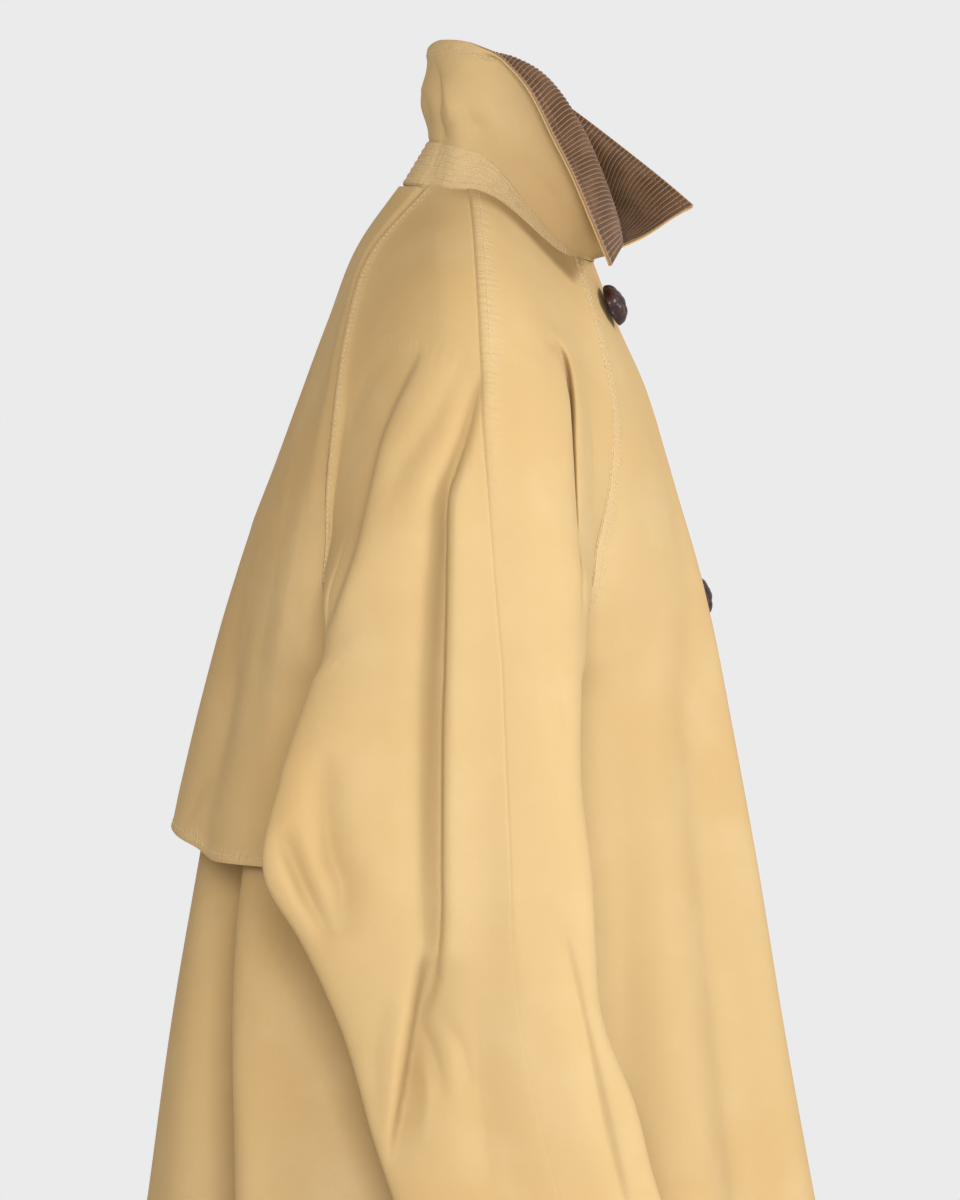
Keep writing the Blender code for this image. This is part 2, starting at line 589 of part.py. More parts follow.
# The storm flap lies on the back's points, moved out, and swings clear towards its hem.
hem_fall = 1 - np.exp(-((back_columns / CAPE_HEM_CURVE) ** 2))
cape_hem = CAPE_HEM_CENTRE_ROW + (CAPE_HEM_SIDE_ROW - CAPE_HEM_CENTRE_ROW) * hem_fall
held_rows = np.concatenate([[CAPE_TOP_ROW], shoulder_rows[1:], [CAPE_LOOSE_ROW]])[:, None]
cape_rows = np.concatenate([held_rows + 0 * back_columns, cape_hem])
cape_base = body_panel("back", cape_rows, back_columns * CAPE.read("edge", cape_rows), CAPE_FLUTES)
fullness = CAPE_SIDE_SWING + (1 - CAPE_SIDE_SWING) * (1 - back_columns ** 2)
from_seam = (1 - np.abs(back_columns) + cape_rows - CAPE_SEAM_END_ROW) / CAPE_SEAM_SHARE
swing = CAPE.read("swing", cape_rows) * fullness * np.clip(from_seam, 0, 1)
cape = cape_base + unit(grid_normals(cape_base, 1)) * (CLOTH + 2 * SEAM + swing)[..., None]
panel_wall("back_cape", cape, unit(grid_normals(cape, 1)), ())

# The collar stands on the neck seam: a stand, the leaf on its top, and the leaf's corduroy facing.
ring = neck_ring(back[0], back_half[0], front_half[0], front_right[0, CENTRE_COLUMN:])
collar_places = np.linspace(-COLLAR_END, COLLAR_END, COLLAR_STEPS + 1)
foot, top = collar_base(ring, collar_places)
stand = np.stack([foot, (foot + top) / 2, top], axis=1)
panel_wall("collar_stand", stand, unit(grid_normals(stand, 1)), ())
leaf = collar_leaf(top, collar_places)
leaf_normals = unit(grid_normals(leaf, 1))
panel_wall("collar_leaf", leaf, leaf_normals, (), KHAKI, COLLAR_CLOTH)
facing_grid = leaf - leaf_normals * (COLLAR_CLOTH + SEAM)
panel_wall("collar_facing", facing_grid, leaf_normals, (), CORDUROY, COLLAR_CLOTH)

# Buttons down the centre front, each on the right front's outer face.
front_drop = CENTRE_FRONT.read("z", body_rows[:, 0])
patch = np.array([-BUTTON_PATCH, 0.0, BUTTON_PATCH])
for number, (height, across) in enumerate(BUTTONS, 1):
    row = np.interp(-height, -front_drop, body_rows[:, 0])
    place = across / panel_edge(FRONT_RAGLAN, np.array(row))[0]
    spot = body_panel("front", row + patch[:, None], place + patch[None, :])
    button("button_%d" % number, spot[1, 1], unit(grid_normals(spot, -1))[1, 1])
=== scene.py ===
"""A loose raglan car coat in its worn form, in washed khaki cotton with a corduroy-faced collar."""

import math
from functools import partial

import bmesh
import bpy
import numpy as np
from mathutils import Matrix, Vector


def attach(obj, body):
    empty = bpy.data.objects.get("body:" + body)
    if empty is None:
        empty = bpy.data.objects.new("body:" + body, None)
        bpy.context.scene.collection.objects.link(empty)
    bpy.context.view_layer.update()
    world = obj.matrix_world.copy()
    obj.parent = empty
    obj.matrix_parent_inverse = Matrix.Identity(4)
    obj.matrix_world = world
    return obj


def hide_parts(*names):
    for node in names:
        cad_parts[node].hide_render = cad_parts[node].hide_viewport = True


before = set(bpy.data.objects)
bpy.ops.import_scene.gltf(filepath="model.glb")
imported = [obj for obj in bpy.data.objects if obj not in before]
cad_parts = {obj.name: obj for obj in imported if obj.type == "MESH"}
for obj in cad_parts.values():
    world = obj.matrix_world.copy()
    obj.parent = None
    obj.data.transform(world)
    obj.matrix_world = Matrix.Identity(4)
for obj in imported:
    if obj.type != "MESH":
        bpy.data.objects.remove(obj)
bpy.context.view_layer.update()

# The back: one wide panel of washed cotton twill from the neck seam to the hem, which falls in flutes
# below the shoulder blades. It is sewn to the sleeves along the raglan seams and to the fronts down
# the sides. Rows of its tables run from 0 at the neck to 1 at the underarm and 2 at the hem.
CLOTH = 0.0016
KHAKI = (0.420, 0.288, 0.134, 1.0)
KHAKI_WARM = (0.396, 0.250, 0.100, 1.0)
KHAKI_FADED = (0.460, 0.332, 0.174, 1.0)
BACK_STEPS = 100
SHOULDER_STEPS = 84
SHOULDER_CROWDING = 1.15
SKIRT_STEPS = 90
SEAM_BAND = np.array((0.0, 0.0007, 0.0015, 0.0026, 0.0042, 0.0056, 0.0070, 0.0090, 0.0120))
# The seam band's columns that rows of stitching run down.
NARROW_STITCH = 2
WIDE_STITCH = 6
HEM_BAND = np.array((0.0, 0.004, 0.012, 0.022, 0.0255, 0.029))
HEM_STITCH = 0.0255
UNDERARM_HEIGHT = -0.357
HEM_HEIGHT = -1.0


def curve_through(knots, values, places):
    """The smooth curve through the values at the knots, read at the places."""
    knots = np.asarray(knots, dtype=float)
    values = np.asarray(values, dtype=float)
    places = np.clip(np.asarray(places, dtype=float), knots[0], knots[-1])
    slopes = np.gradient(values, knots, axis=0)
    left = np.clip(np.searchsorted(knots, places, side="right") - 1, 0, len(knots) - 2)
    shape = places.shape + (1,) * (values.ndim - 1)
    step = (knots[left + 1] - knots[left]).reshape(shape)
    s = (places - knots[left]).reshape(shape) / step
    from_left = (1 + 2 * s) * (1 - s) ** 2 * values[left] + s * (1 - s) ** 2 * step * slopes[left]
    from_right = s * s * (3 - 2 * s) * values[left + 1] - s * s * (1 - s) * step * slopes[left + 1]
    return from_left + from_right


class Table:
    """Sizes in rows under named columns, read as smooth curves of the first column."""

    def __init__(self, columns, *rows):
        self.columns = columns.split()
        self.rows = np.array(rows, dtype=float)

    def read(self, names, places):
        picked = [self.columns.index(name) for name in names.split()]
        values = curve_through(self.rows[:, 0], self.rows[:, picked], places)
        return values if len(picked) > 1 else values[..., 0]


CENTRE_BACK = Table(
    "row y z",
    (0.00, 0.0540, 0.004),
    (0.12, 0.0805, -0.036),
    (0.30, 0.1020, -0.094),
    (0.55, 0.1310, -0.182),
    (0.80, 0.1590, -0.268),
    (1.00, 0.1780, -0.357),
    (1.16, 0.1960, -0.460),
    (1.34, 0.2156, -0.576),
    (1.54, 0.2330, -0.704),
    (2.00, 0.2770, -1.000),
)
BACK_RAGLAN = Table(
    "row out y z",
    (0.00, 0.052, 0.037, 0.002),
    (0.15, 0.085, 0.077, -0.045),
    (0.30, 0.118, 0.092, -0.090),
    (0.50, 0.155, 0.103, -0.165),
    (0.70, 0.182, 0.107, -0.240),
    (0.85, 0.195, 0.100, -0.300),
    (0.93, 0.200, 0.068, -0.338),
    (1.00, 0.202, 0.018, -0.357),
)
SIDE_SEAM = Table(
    "row out y z",
    (1.00, 0.202, 0.018, -0.357),
    (1.16, 0.222, 0.016, -0.460),
    (1.34, 0.238, 0.012, -0.576),
    (1.54, 0.258, 0.006, -0.704),
    (2.00, 0.300, -0.003, -1.000),
)
# The angle that a panel's arc turns through between its centre line and its edge.
PANEL_ARC = {
    "back": Table("row arc", (0.00, 1.20), (0.15, 0.95), (0.30, 0.82), (0.45, 0.84), (0.60, 0.98),
                  (0.75, 1.17), (0.88, 1.35), (0.95, 1.46), (1.00, 1.57), (2.00, 1.57)),
    "front": Table("row arc", (0.00, 0.95), (0.15, 0.85), (0.30, 0.76), (0.45, 0.79), (0.60, 0.89),
                   (0.75, 1.04), (0.88, 1.17), (0.95, 1.24), (1.00, 1.30), (1.16, 1.43), (1.34, 1.54),
                   (1.54, 1.57), (2.00, 1.57)),
}
# Flutes of the skirt, down the coat: their place and half width across a panel, mirrored, and their push.
FLUTE_COLUMNS = "row place width push"
FLUTES = {
    "back": (
        Table(FLUTE_COLUMNS, (0.70, 0.25, 0.09, 0.000), (1.00, 0.26, 0.09, -0.020),
              (1.19, 0.29, 0.09, -0.040), (1.35, 0.36, 0.09, -0.050), (1.50, 0.42, 0.09, -0.056),
              (2.00, 0.50, 0.09, -0.070)),
        Table(FLUTE_COLUMNS, (0.95, 0.43, 0.10, 0.000), (1.19, 0.46, 0.10, 0.012),
              (1.35, 0.54, 0.10, 0.030), (1.50, 0.595, 0.10, 0.042), (1.70, 0.635, 0.10, 0.052),
              (2.00, 0.67, 0.10, 0.060)),
    ),
    "front": (
        Table(FLUTE_COLUMNS, (0.30, 0.00, 0.12, 0.0), (2.00, 0.00, 0.12, -0.022)),
        Table(FLUTE_COLUMNS, (0.30, 0.22, 0.10, 0.0), (2.00, 0.22, 0.10, 0.022)),
        Table(FLUTE_COLUMNS, (0.80, 0.38, 0.10, 0.0), (2.00, 0.38, 0.10, -0.024)),
        Table(FLUTE_COLUMNS, (0.90, 0.53, 0.10, 0.0), (2.00, 0.53, 0.10, 0.008)),
        Table(FLUTE_COLUMNS, (0.92, 0.70, 0.12, 0.0), (2.00, 0.70, 0.12, -0.022)),
    ),
}
FLUTE_SEAM_SHARE = 0.1


def panel_edge(raglan, rows):
    """A body panel's outer edge: its raglan seam to the underarm, then the side seam."""
    return np.where(rows[..., None] < 1, raglan.read("out y z", rows), SIDE_SEAM.read("out y z", rows))


def panel_arc(name, rows):
    return np.minimum(PANEL_ARC[name].read("arc", rows), math.pi / 2)


def body_panel(name, centre_line, edge, rows, across, fluted=1.0):
    """Points of the back or the whole front: across is -1 at the right edge, 0 at the centre, 1 left."""
    centre = centre_line.read("y z", rows)
    arc = panel_arc(name, rows)
    turn = across * arc
    nearness = (np.cos(turn) - np.cos(arc)) / (1 - np.cos(arc))
    x = edge[..., 0] * np.sin(turn) / np.sin(arc)
    y = edge[..., 1] + (centre[..., 0] - edge[..., 1]) * nearness
    z = edge[..., 2] + (centre[..., 1] - edge[..., 2]) * nearness
    push = np.zeros(rows.shape)
    for flute in FLUTES[name]:
        place, width, depth = np.moveaxis(flute.read("place width push", rows), -1, 0)
        push = push + depth * np.exp(-(((np.abs(across) - place) / width) ** 2))
    push = push * fluted * np.clip((1 - np.abs(across)) / FLUTE_SEAM_SHARE, 0, 1)
    backwards = np.sign(centre[..., 0])
    x = x + push * np.sin(across * math.pi / 2)
    y = y + push * np.cos(across * math.pi / 2) * backwards
    return np.stack([x, y, z], axis=-1)


def back_panel(rows, across, fluted=1.0):
    rows, across = np.broadcast_arrays(rows, across)
    return body_panel("back", CENTRE_BACK, panel_edge(BACK_RAGLAN, rows), rows, across, fluted)


def unit(vectors):
    return vectors / np.linalg.norm(vectors, axis=-1, keepdims=True)


def outwards(points):
    """Unit normals of a grid, on the side from which its columns run right as its rows run up."""
    return unit(np.cross(np.gradient(points, axis=1), np.gradient(points, axis=0)))


def lengths(points, axis):
    """Length along the cloth at each point, from the grid's first row or column."""
    steps = np.linalg.norm(np.diff(points, axis=axis), axis=-1)
    return np.insert(np.cumsum(steps, axis=axis), 0, 0, axis=axis)


def above_hem(points):
    """Length along the cloth at each point, up from the grid's last row."""
    return lengths(points[::-1], 0)[::-1]


def read_along(line, run, places):
    """Values of a line of points or vectors at lengths along it."""
    return np.stack([np.interp(places, run, line[:, axis]) for axis in range(3)], axis=-1)


PANEL_SAMPLES = 161
BAND_SHARE = 0.3


def spaced(panel, rows, steps, first_band, last_band, first, last):
    """Places across a panel, row by row: close-set beside its sewn edges and even in between."""
    samples = np.linspace(first, last, PANEL_SAMPLES)
    columns = []
    for line in lengths(panel(rows[:, None], samples[None, :]), 1):
        near = first_band * min(1, BAND_SHARE * line[-1] / first_band[-1])
        far = line[-1] - last_band[::-1] * min(1, BAND_SHARE * line[-1] / last_band[-1])
        middle = np.linspace(near[-1], far[0], steps + 1)[1:-1]
        columns.append(np.interp(np.concatenate([near, middle, far]), line, samples))
    return np.array(columns)


def smooth(share):
    share = np.clip(share, 0, 1)
    return share * share * (3 - 2 * share)


WAVES = 9


def uneven(points, width, seed):
    """A smooth random height of about 1 over the points, with bumps of about that width."""
    chance = np.random.default_rng(seed)
    height = np.zeros(points.shape[:-1])
    for _ in range(WAVES):
        direction = unit(chance.normal(size=3)) * chance.uniform(0.5, 1.5)
        height += np.sin(points @ direction * math.pi / width + chance.uniform(0, 2 * math.pi))
    return height / math.sqrt(WAVES)


SEAM_GROOVE = 0.0004
SEAM_GROOVE_WIDTH = 0.0009
SEAM_RIDGE = 0.0006
SEAM_RIDGE_RISE = 0.0015
SEAM_RIDGE_FALL = 0.0022
STITCH_DENT = 0.0004
STITCH_DENT_WIDTH = 0.0009
DRAPE = 0.0011
DRAPE_WIDTH = 0.075
DRAPE_STRETCH = np.array((1.0, 1.0, 0.3))
DRAPE_FADE = 0.03
PUCKER_REACH = 0.0045


def seam_relief(distance, stitches, groove=SEAM_GROOVE):
    """Height of the cloth beside a seam: its groove, its ridge, and dents at the stitches."""
    height = -groove * np.exp(-((distance / SEAM_GROOVE_WIDTH) ** 2))
    for place in stitches:
        height -= STITCH_DENT * np.exp(-(((distance - place) / STITCH_DENT_WIDTH) ** 2))
    if stitches:
        rise = smooth(distance / SEAM_RIDGE_RISE)
        height += SEAM_RIDGE * rise * (1 - smooth((distance - stitches[-1]) / SEAM_RIDGE_FALL))
    return height


def puckers(distance, stitches, reach=PUCKER_REACH):
    """How strongly the thread gathers the cloth near the rows of stitching, from 0 to 1."""
    gathered = np.zeros(distance.shape)
    for place in stitches:
        gathered = np.maximum(gathered, np.exp(-(((distance - place) / reach) ** 2)))
    return gathered


class Socket:
    """A socket in a material. Sums and products add Math nodes, and node() adds any other."""

    def __init__(self, tree, socket=None):
        self.tree = tree
        self.socket = socket

    def node(self, kind, values, output=0, **settings):
        made = self.tree.nodes.new(kind)
        for name, setting in settings.items():
            setattr(made, name, setting)
        for name, value in values.items():
            if isinstance(value, Socket):
                self.tree.links.new(value.socket, made.inputs[name])
            else:
                made.inputs[name].default_value = value
        return Socket(self.tree, made.outputs[output])

    def math(self, operation, first, second):
        return self.node("ShaderNodeMath", {0: first, 1: second}, operation=operation)

    def __add__(self, other):
        return self.math("ADD", self, other)

    __radd__ = __add__

    def __sub__(self, other):
        return self.math("SUBTRACT", self, other)

    def __mul__(self, other):
        return self.math("MULTIPLY", self, other)

    __rmul__ = __mul__

    def mix(self, first, second):
        """A colour between two colours, by this socket's value."""
        return self.node("ShaderNodeMix", {0: self, 6: first, 7: second}, 2, data_type="RGBA")

    def noise(self, vector, scale, detail, distortion=0.0):
        values = {"Vector": vector, "Scale": scale, "Detail": detail, "Distortion": distortion}
        return self.node("ShaderNodeTexNoise", values)

    def scaled(self, scale, turn=0.0):
        """This socket's vector, scaled and turned."""
        values = {"Vector": self, "Rotation": (0, 0, turn), "Scale": scale}
        return self.node("ShaderNodeMapping", values)

    def attribute(self, name):
        return self.node("ShaderNodeAttribute", {}, "Fac", attribute_name=name)

    def between(self, low, high):
        """0 where this socket has the low value, 1 where it has the high one."""
        return self.node("ShaderNodeMapRange", {"Value": self, "From Min": low, "From Max": high})

    def bump(self, strength, distance):
        values = {"Height": self, "Strength": strength, "Distance": distance}
        return self.node("ShaderNodeBump", values)

    def feed(self, shader, name):
        self.tree.links.new(self.socket, shader.inputs[name])


def new_material(name, roughness):
    material = bpy.data.materials.new(name)
    material.use_nodes = True
    shader = material.node_tree.nodes["Principled BSDF"]
    shader.inputs["Roughness"].default_value = roughness
    return material, shader, Socket(material.node_tree)


WARM_SHARE = 0.42
PALE_SHARE = 0.35
RUBBED_SHARE = 0.55
PUCKER_BUMP = 2.4
WEAVE_BUMP = 0.16
CRUMPLE_BUMP = 0.35
TWILL_TURN = 0.9


def khaki_cotton():
    """Washed twill: uneven garment dye, paler where seams rub, with puckers and a fine weave."""
    material, shader, start = new_material("khaki_cotton", 0.82)
    shader.inputs["Sheen Weight"].default_value = 0.03
    shader.inputs["Sheen Roughness"].default_value = 0.45
    shader.inputs["Sheen Tint"].default_value = (1.0, 0.86, 0.58, 1.0)
    shader.inputs["Specular IOR Level"].default_value = 0.12
    place = start.node("ShaderNodeTexCoord", {}, "Object")
    cloth = start.node("ShaderNodeUVMap", {}, uv_map="cloth")
    down = start.attribute("puckers_down")
    across = start.attribute("puckers_across")
    warm = start.noise(place, 4.0, 2.0, 0.4).between(0.42, 0.66)
    pale = start.noise(place, 19.0, 4.0).between(0.48, 0.78)
    specks = start.noise(cloth, 420.0, 2.0)
    rubbed = (down + across) * (0.35 + 0.5 * specks)
    colour = (warm * WARM_SHARE).mix(KHAKI, KHAKI_WARM)
    colour = (pale * PALE_SHARE).mix(colour, KHAKI_FADED)
    colour = (rubbed * RUBBED_SHARE).mix(colour, KHAKI_FADED)
    colour.feed(shader, "Base Color")
    ripples = start.noise(cloth.scaled((70.0, 330.0, 1.0)), 1.0, 1.0)
    gathers = start.noise(cloth.scaled((330.0, 70.0, 1.0)), 1.0, 1.0)
    weave = start.noise(cloth.scaled((1500.0, 420.0, 1.0), TWILL_TURN), 1.0, 2.0)
    crumple = start.noise(place, 55.0, 2.0)
    height = (ripples * down + gathers * across) * PUCKER_BUMP + weave * WEAVE_BUMP + crumple * CRUMPLE_BUMP
    height.bump(0.55, 0.0011).feed(shader, "Normal")
    return material


COTTON = khaki_cotton()


def placed(mesh, material):
    """An object of that mesh and material in the scene."""
    mesh.materials.append(material)
    piece = bpy.data.objects.new(mesh.name, mesh)
    bpy.context.scene.collection.objects.link(piece)
    return piece


def laid(node, name, slot, points, thickness, material, **marks):
    """The cloth of a node through a grid of points, with its lengths along the cloth as its UV map."""
    rows, columns = points.shape[:2]
    bm = bmesh.new()
    bmesh.ops.create_grid(bm, x_segments=columns - 1, y_segments=rows - 1, size=0.5)
    mesh = bpy.data.meshes.new(name)
    bm.to_mesh(mesh)
    bm.free()
    flat = np.empty(len(mesh.vertices) * 3)
    mesh.vertices.foreach_get("co", flat)
    column, row = np.rint((flat.reshape(-1, 3)[:, :2] + 0.5) * (columns - 1, rows - 1)).astype(int).T
    mesh.vertices.foreach_set("co", points[row, column].ravel())
    corners = np.empty(len(mesh.loops), dtype=np.int32)
    mesh.loops.foreach_get("vertex_index", corners)
    along = np.stack([lengths(points, 1), lengths(points, 0)], axis=-1)[row, column]
    mesh.uv_layers.new(name="cloth").data.foreach_set("uv", along[corners].ravel())
    for mark, values in marks.items():
        values = np.broadcast_to(values, (rows, columns))[row, column]
        mesh.attributes.new(mark, "FLOAT", "POINT").data.foreach_set("value", values)
    mesh.shade_smooth()
    sides = np.empty(len(mesh.loops), dtype=np.int32)
    mesh.loops.foreach_get("edge_index", sides)
    mesh.attributes.new("sharp_edge", "BOOLEAN", "EDGE").data.foreach_set("value", np.bincount(sides) == 1)
    piece = placed(mesh, material)
    wall = piece.modifiers.new("thickness", "SOLIDIFY")
    wall.thickness = thickness
    wall.offset = -1
    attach(piece, "root")
    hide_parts(node)
    return piece


THREAD_RADIUS = 0.00038
THREAD_SHARE = 0.36
THREAD_LIFT = 0.4


def stitched(name, lines, pitch, material):
    """Rows of running thread on the cloth: one small capsule for each stitch along each line."""
    bm = bmesh.new()
    bmesh.ops.create_uvsphere(bm, u_segments=5, v_segments=4, radius=1)
    bm.verts.ensure_lookup_table()
    capsule = np.array([vert.co[:] for vert in bm.verts])[:, (2, 1, 0)]
    capsule = capsule * (pitch * THREAD_SHARE, THREAD_RADIUS, THREAD_RADIUS)
    faces = [[vert.index for vert in face.verts] for face in bm.faces]
    bm.free()
    points = []
    for line, normals in lines:
        run = lengths(line, 0)
        places = np.arange(pitch, run[-1] - pitch / 2, pitch)
        centre = read_along(line, run, places)
        normal = unit(read_along(normals, run, places))
        along = unit(np.gradient(centre, axis=0))
        side = unit(np.cross(normal, along))
        axes = np.stack([along, side, normal], axis=1)
        points.append((capsule @ axes) + (centre + normal * THREAD_RADIUS * THREAD_LIFT)[:, None])
    points = np.concatenate(points)
    count, size = points.shape[:2]
    mesh = bpy.data.meshes.new(name)
    mesh.from_pydata(points.reshape(-1, 3), [], [
        [index + stitch * size for index in face] for stitch in range(count) for face in faces])
    mesh.shade_smooth()
    piece = placed(mesh, material)
    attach(piece, "root")
    return piece


THREAD_KHAKI = (0.52, 0.38, 0.205, 1.0)
STITCH = 0.0040
thread, thread_shader, _ = new_material("khaki_thread", 0.70)
thread_shader.inputs["Base Color"].default_value = THREAD_KHAKI

shoulder_rows = np.linspace(0, 1, SHOULDER_STEPS + 1) ** SHOULDER_CROWDING
skirt_length = UNDERARM_HEIGHT - HEM_HEIGHT
hem_rows = 2 - HEM_BAND[::-1] / skirt_length
skirt_rows = np.linspace(1, hem_rows[0], SKIRT_STEPS + 1)[1:-1]
body_rows = np.concatenate([shoulder_rows, skirt_rows, hem_rows])
hem_row = len(body_rows) - 1 - int(np.argmin(np.abs(HEM_BAND - HEM_STITCH)))


def draped(points, edges, stretch, seed):
    """The small unevenness of worn cloth, fading towards the sewn edges."""
    room = smooth(np.minimum.reduce(edges) / DRAPE_FADE)
    return DRAPE * room * uneven(points * stretch, DRAPE_WIDTH, seed)


across = spaced(back_panel, body_rows, BACK_STEPS, SEAM_BAND, SEAM_BAND, -1, 1)
points = back_panel(body_rows[:, None], across)
normals = outwards(points)
from_right = lengths(points, 1)
from_left = from_right[:, -1:] - from_right
from_hem = above_hem(points)
height = seam_relief(from_right, ()) + seam_relief(from_left, ())
height += seam_relief(from_hem, (HEM_STITCH,), 0)
height += draped(points, (from_right, from_left, from_hem), DRAPE_STRETCH, seed=3)
points = points + normals * height[..., None]
back = laid("back", "back_cloth", "khaki_cotton", points, CLOTH, COTTON, puckers_down=0.0,
            puckers_across=puckers(from_hem, (HEM_STITCH,)))
hem_line = (points[hem_row], normals[hem_row])
back_thread = stitched("back_stitching", [hem_line], STITCH, thread)

# The storm flap: a second, shorter layer of the cotton over the back, caught in the neck and raglan
# seams and free below the shoulder blades, where it swings clear. Its hem is turned up and topstitched.
FLAP_SWING = Table(
    "row swing edge",
    (0.000, 0.0000, 1.000),
    (0.120, 0.0006, 1.000),
    (0.300, 0.0020, 1.000),
    (0.550, 0.0050, 1.000),
    (0.800, 0.0090, 0.990),
    (0.900, 0.0120, 0.930),
    (1.000, 0.0150, 0.850),
    (1.060, 0.0170, 0.810),
    (1.200, 0.0215, 0.800),
)
FLAP_TOP_ROW = 0.008
FLAP_HEM_CENTRE_ROW = 1.145
FLAP_HEM_SIDE_ROW = 1.184
FLAP_HEM_CURVE = 0.36
FLAP_SIDE_SWING = 0.3
FLAP_SEAM_SHARE = 0.3
FLAP_SEAM_END_ROW = 0.8
FLAP_CLEARANCE = 0.0022
FLAP_SEWN_SHARE = 0.14
FLAP_FREE_ROWS = 0.08
FLAP_SLOPE_ROWS = (1.0, 1.16)
FLAP_CREASE_FADE = 0.02
FLAP_FLUTES = 0.18
FLAP_STEPS = 120
FLAP_ROWS = 96
FLAP_HEM_BAND = np.array((0.0, 0.0012, 0.0030, 0.0047, 0.0056, 0.0065, 0.0085, 0.0120))
FLAP_STITCH = 0.0056
# Soft creases seen from the side: path down the cloth as y and z, reach forwards, reach back, push.
FLAP_CREASES = (
    (((0.150, -0.235), (0.171, -0.325), (0.180, -0.380), (0.188, -0.425)), 0.010, 0.013, -0.0050),
    (((0.128, -0.190), (0.150, -0.300), (0.158, -0.380)), 0.008, 0.010, -0.0026),
    (((0.108, -0.150), (0.128, -0.260), (0.142, -0.360), (0.149, -0.440)), 0.012, 0.010, 0.0030),
    (((0.190, -0.405), (0.199, -0.425), (0.203, -0.441)), 0.004, 0.005, -0.0020),
)
CREASE_SAMPLES = 36
CREASE_SHARPNESS = 1.5
CREASE_TAPER = 0.6


def crease_height(points, creases):
    """How far soft creases push the cloth: each falls away on both sides of its path, and at its ends."""
    height = np.zeros(points.shape[:-1])
    for path, reach_forwards, reach_back, push in creases:
        line = curve_through(np.linspace(0, 1, len(path)), path, np.linspace(0, 1, CREASE_SAMPLES))
        step = np.diff(line, axis=0)
        away = points[..., None, 1:] - line[:-1]
        along = np.clip((away * step).sum(axis=-1) / (step * step).sum(axis=-1), 0, 1)
        away = away - along[..., None] * step
        distance = np.linalg.norm(away, axis=-1)
        nearest = distance.argmin(axis=-1)[..., None]
        place = (nearest + np.take_along_axis(along, nearest, axis=-1))[..., 0] / len(step)
        gap = np.take_along_axis(away, nearest[..., None], axis=-2)[..., 0, :]
        heading = step[nearest[..., 0]]
        is_back = heading[..., 0] * gap[..., 1] > heading[..., 1] * gap[..., 0]
        reach = np.where(is_back, reach_back, reach_forwards)
        taper = np.clip(np.sin(math.pi * place), 0, 1) ** CREASE_TAPER
        height += push * taper * np.exp(-((distance.min(axis=-1) / reach) ** CREASE_SHARPNESS))
    return height


share = np.linspace(-1, 1, FLAP_STEPS + 1)
hem_fall = 1 - np.exp(-((share / FLAP_HEM_CURVE) ** 2))
flap_hem = FLAP_HEM_CENTRE_ROW + (FLAP_HEM_SIDE_ROW - FLAP_HEM_CENTRE_ROW) * hem_fall
hem_slope = -np.diff(CENTRE_BACK.read("z", FLAP_SLOPE_ROWS)) / np.diff(FLAP_SLOPE_ROWS)
flap_band = flap_hem - FLAP_HEM_BAND[::-1, None] / hem_slope
flap_rows = np.concatenate([
    FLAP_TOP_ROW + (flap_band[:1] - FLAP_TOP_ROW) * np.linspace(0, 1, FLAP_ROWS)[:-1, None], flap_band])
base = back_panel(flap_rows, share * FLAP_SWING.read("edge", flap_rows), FLAP_FLUTES)
fullness = FLAP_SIDE_SWING + (1 - FLAP_SIDE_SWING) * (1 - share ** 2)
from_seam = np.clip((1 - np.abs(share) + flap_rows - FLAP_SEAM_END_ROW) / FLAP_SEAM_SHARE, 0, 1)
swing = FLAP_SWING.read("swing", flap_rows) * fullness * from_seam
free = np.maximum(smooth((flap_rows - FLAP_SEAM_END_ROW) / FLAP_FREE_ROWS),
                  smooth((1 - np.abs(share)) / FLAP_SEWN_SHARE))
points = base + outwards(base) * (FLAP_CLEARANCE * free + swing)[..., None]
normals = outwards(points)
from_right = lengths(points, 1)
from_left = from_right[:, -1:] - from_right
from_hem = above_hem(points)
height = seam_relief(from_hem, (FLAP_STITCH,), 0)
height += crease_height(points, FLAP_CREASES) * smooth(from_hem / FLAP_CREASE_FADE)
height += draped(points, (from_right, from_left, from_hem), DRAPE_STRETCH, seed=5)
points = points + normals * height[..., None]
flap = laid("back_cape", "storm_flap_cloth", "khaki_cotton", points, CLOTH, COTTON, puckers_down=0.0,
            puckers_across=puckers(from_hem, (FLAP_STITCH,)))
flap_row = len(points) - 1 - int(np.argmin(np.abs(FLAP_HEM_BAND - FLAP_STITCH)))
hem_line = (points[flap_row], normals[flap_row])
flap_thread = stitched("storm_flap_stitching", [hem_line], STITCH, thread)

# The fronts: two panels of the cotton, the right one lapped over the left down the centre. Each is
# sewn to a sleeve along the raglan seam, topstitched twice, and to the back down the side.
CENTRE_FRONT = Table(
    "row y z",
    (0.00, -0.0800, -0.050),
    (0.12, -0.0950, -0.090),
    (0.30, -0.1165, -0.140),
    (0.55, -0.1380, -0.220),
    (0.80, -0.1560, -0.290),
    (1.00, -0.1705, -0.357),
    (1.16, -0.1900, -0.460),
    (1.34, -0.2095, -0.576),
    (1.54, -0.2320, -0.704),
    (2.00, -0.2840, -1.000),
)
FRONT_RAGLAN = Table(
    "row out y z",
    (0.00, 0.044, -0.066, -0.047),
    (0.30, 0.095, -0.084, -0.112),
    (0.45, 0.125, -0.092, -0.157),
    (0.60, 0.150, -0.090, -0.203),
    (0.75, 0.170, -0.081, -0.247),
    (0.88, 0.190, -0.066, -0.300),
    (0.95, 0.199, -0.032, -0.340),
    (1.00, 0.202, 0.018, -0.357),
)
LAP = 0.025
LAP_CLEARANCE = 0.0006
LAP_STEP_START = 1.06
LAP_STEP_SHARE = 0.16
FRONT_STEPS = 68
FRONT_EDGE_BAND = np.array((0.0, 0.0010, 0.0030, 0.0052, 0.0064, 0.0080, 0.0120))
FRONT_EDGE_STITCH = 0.0064
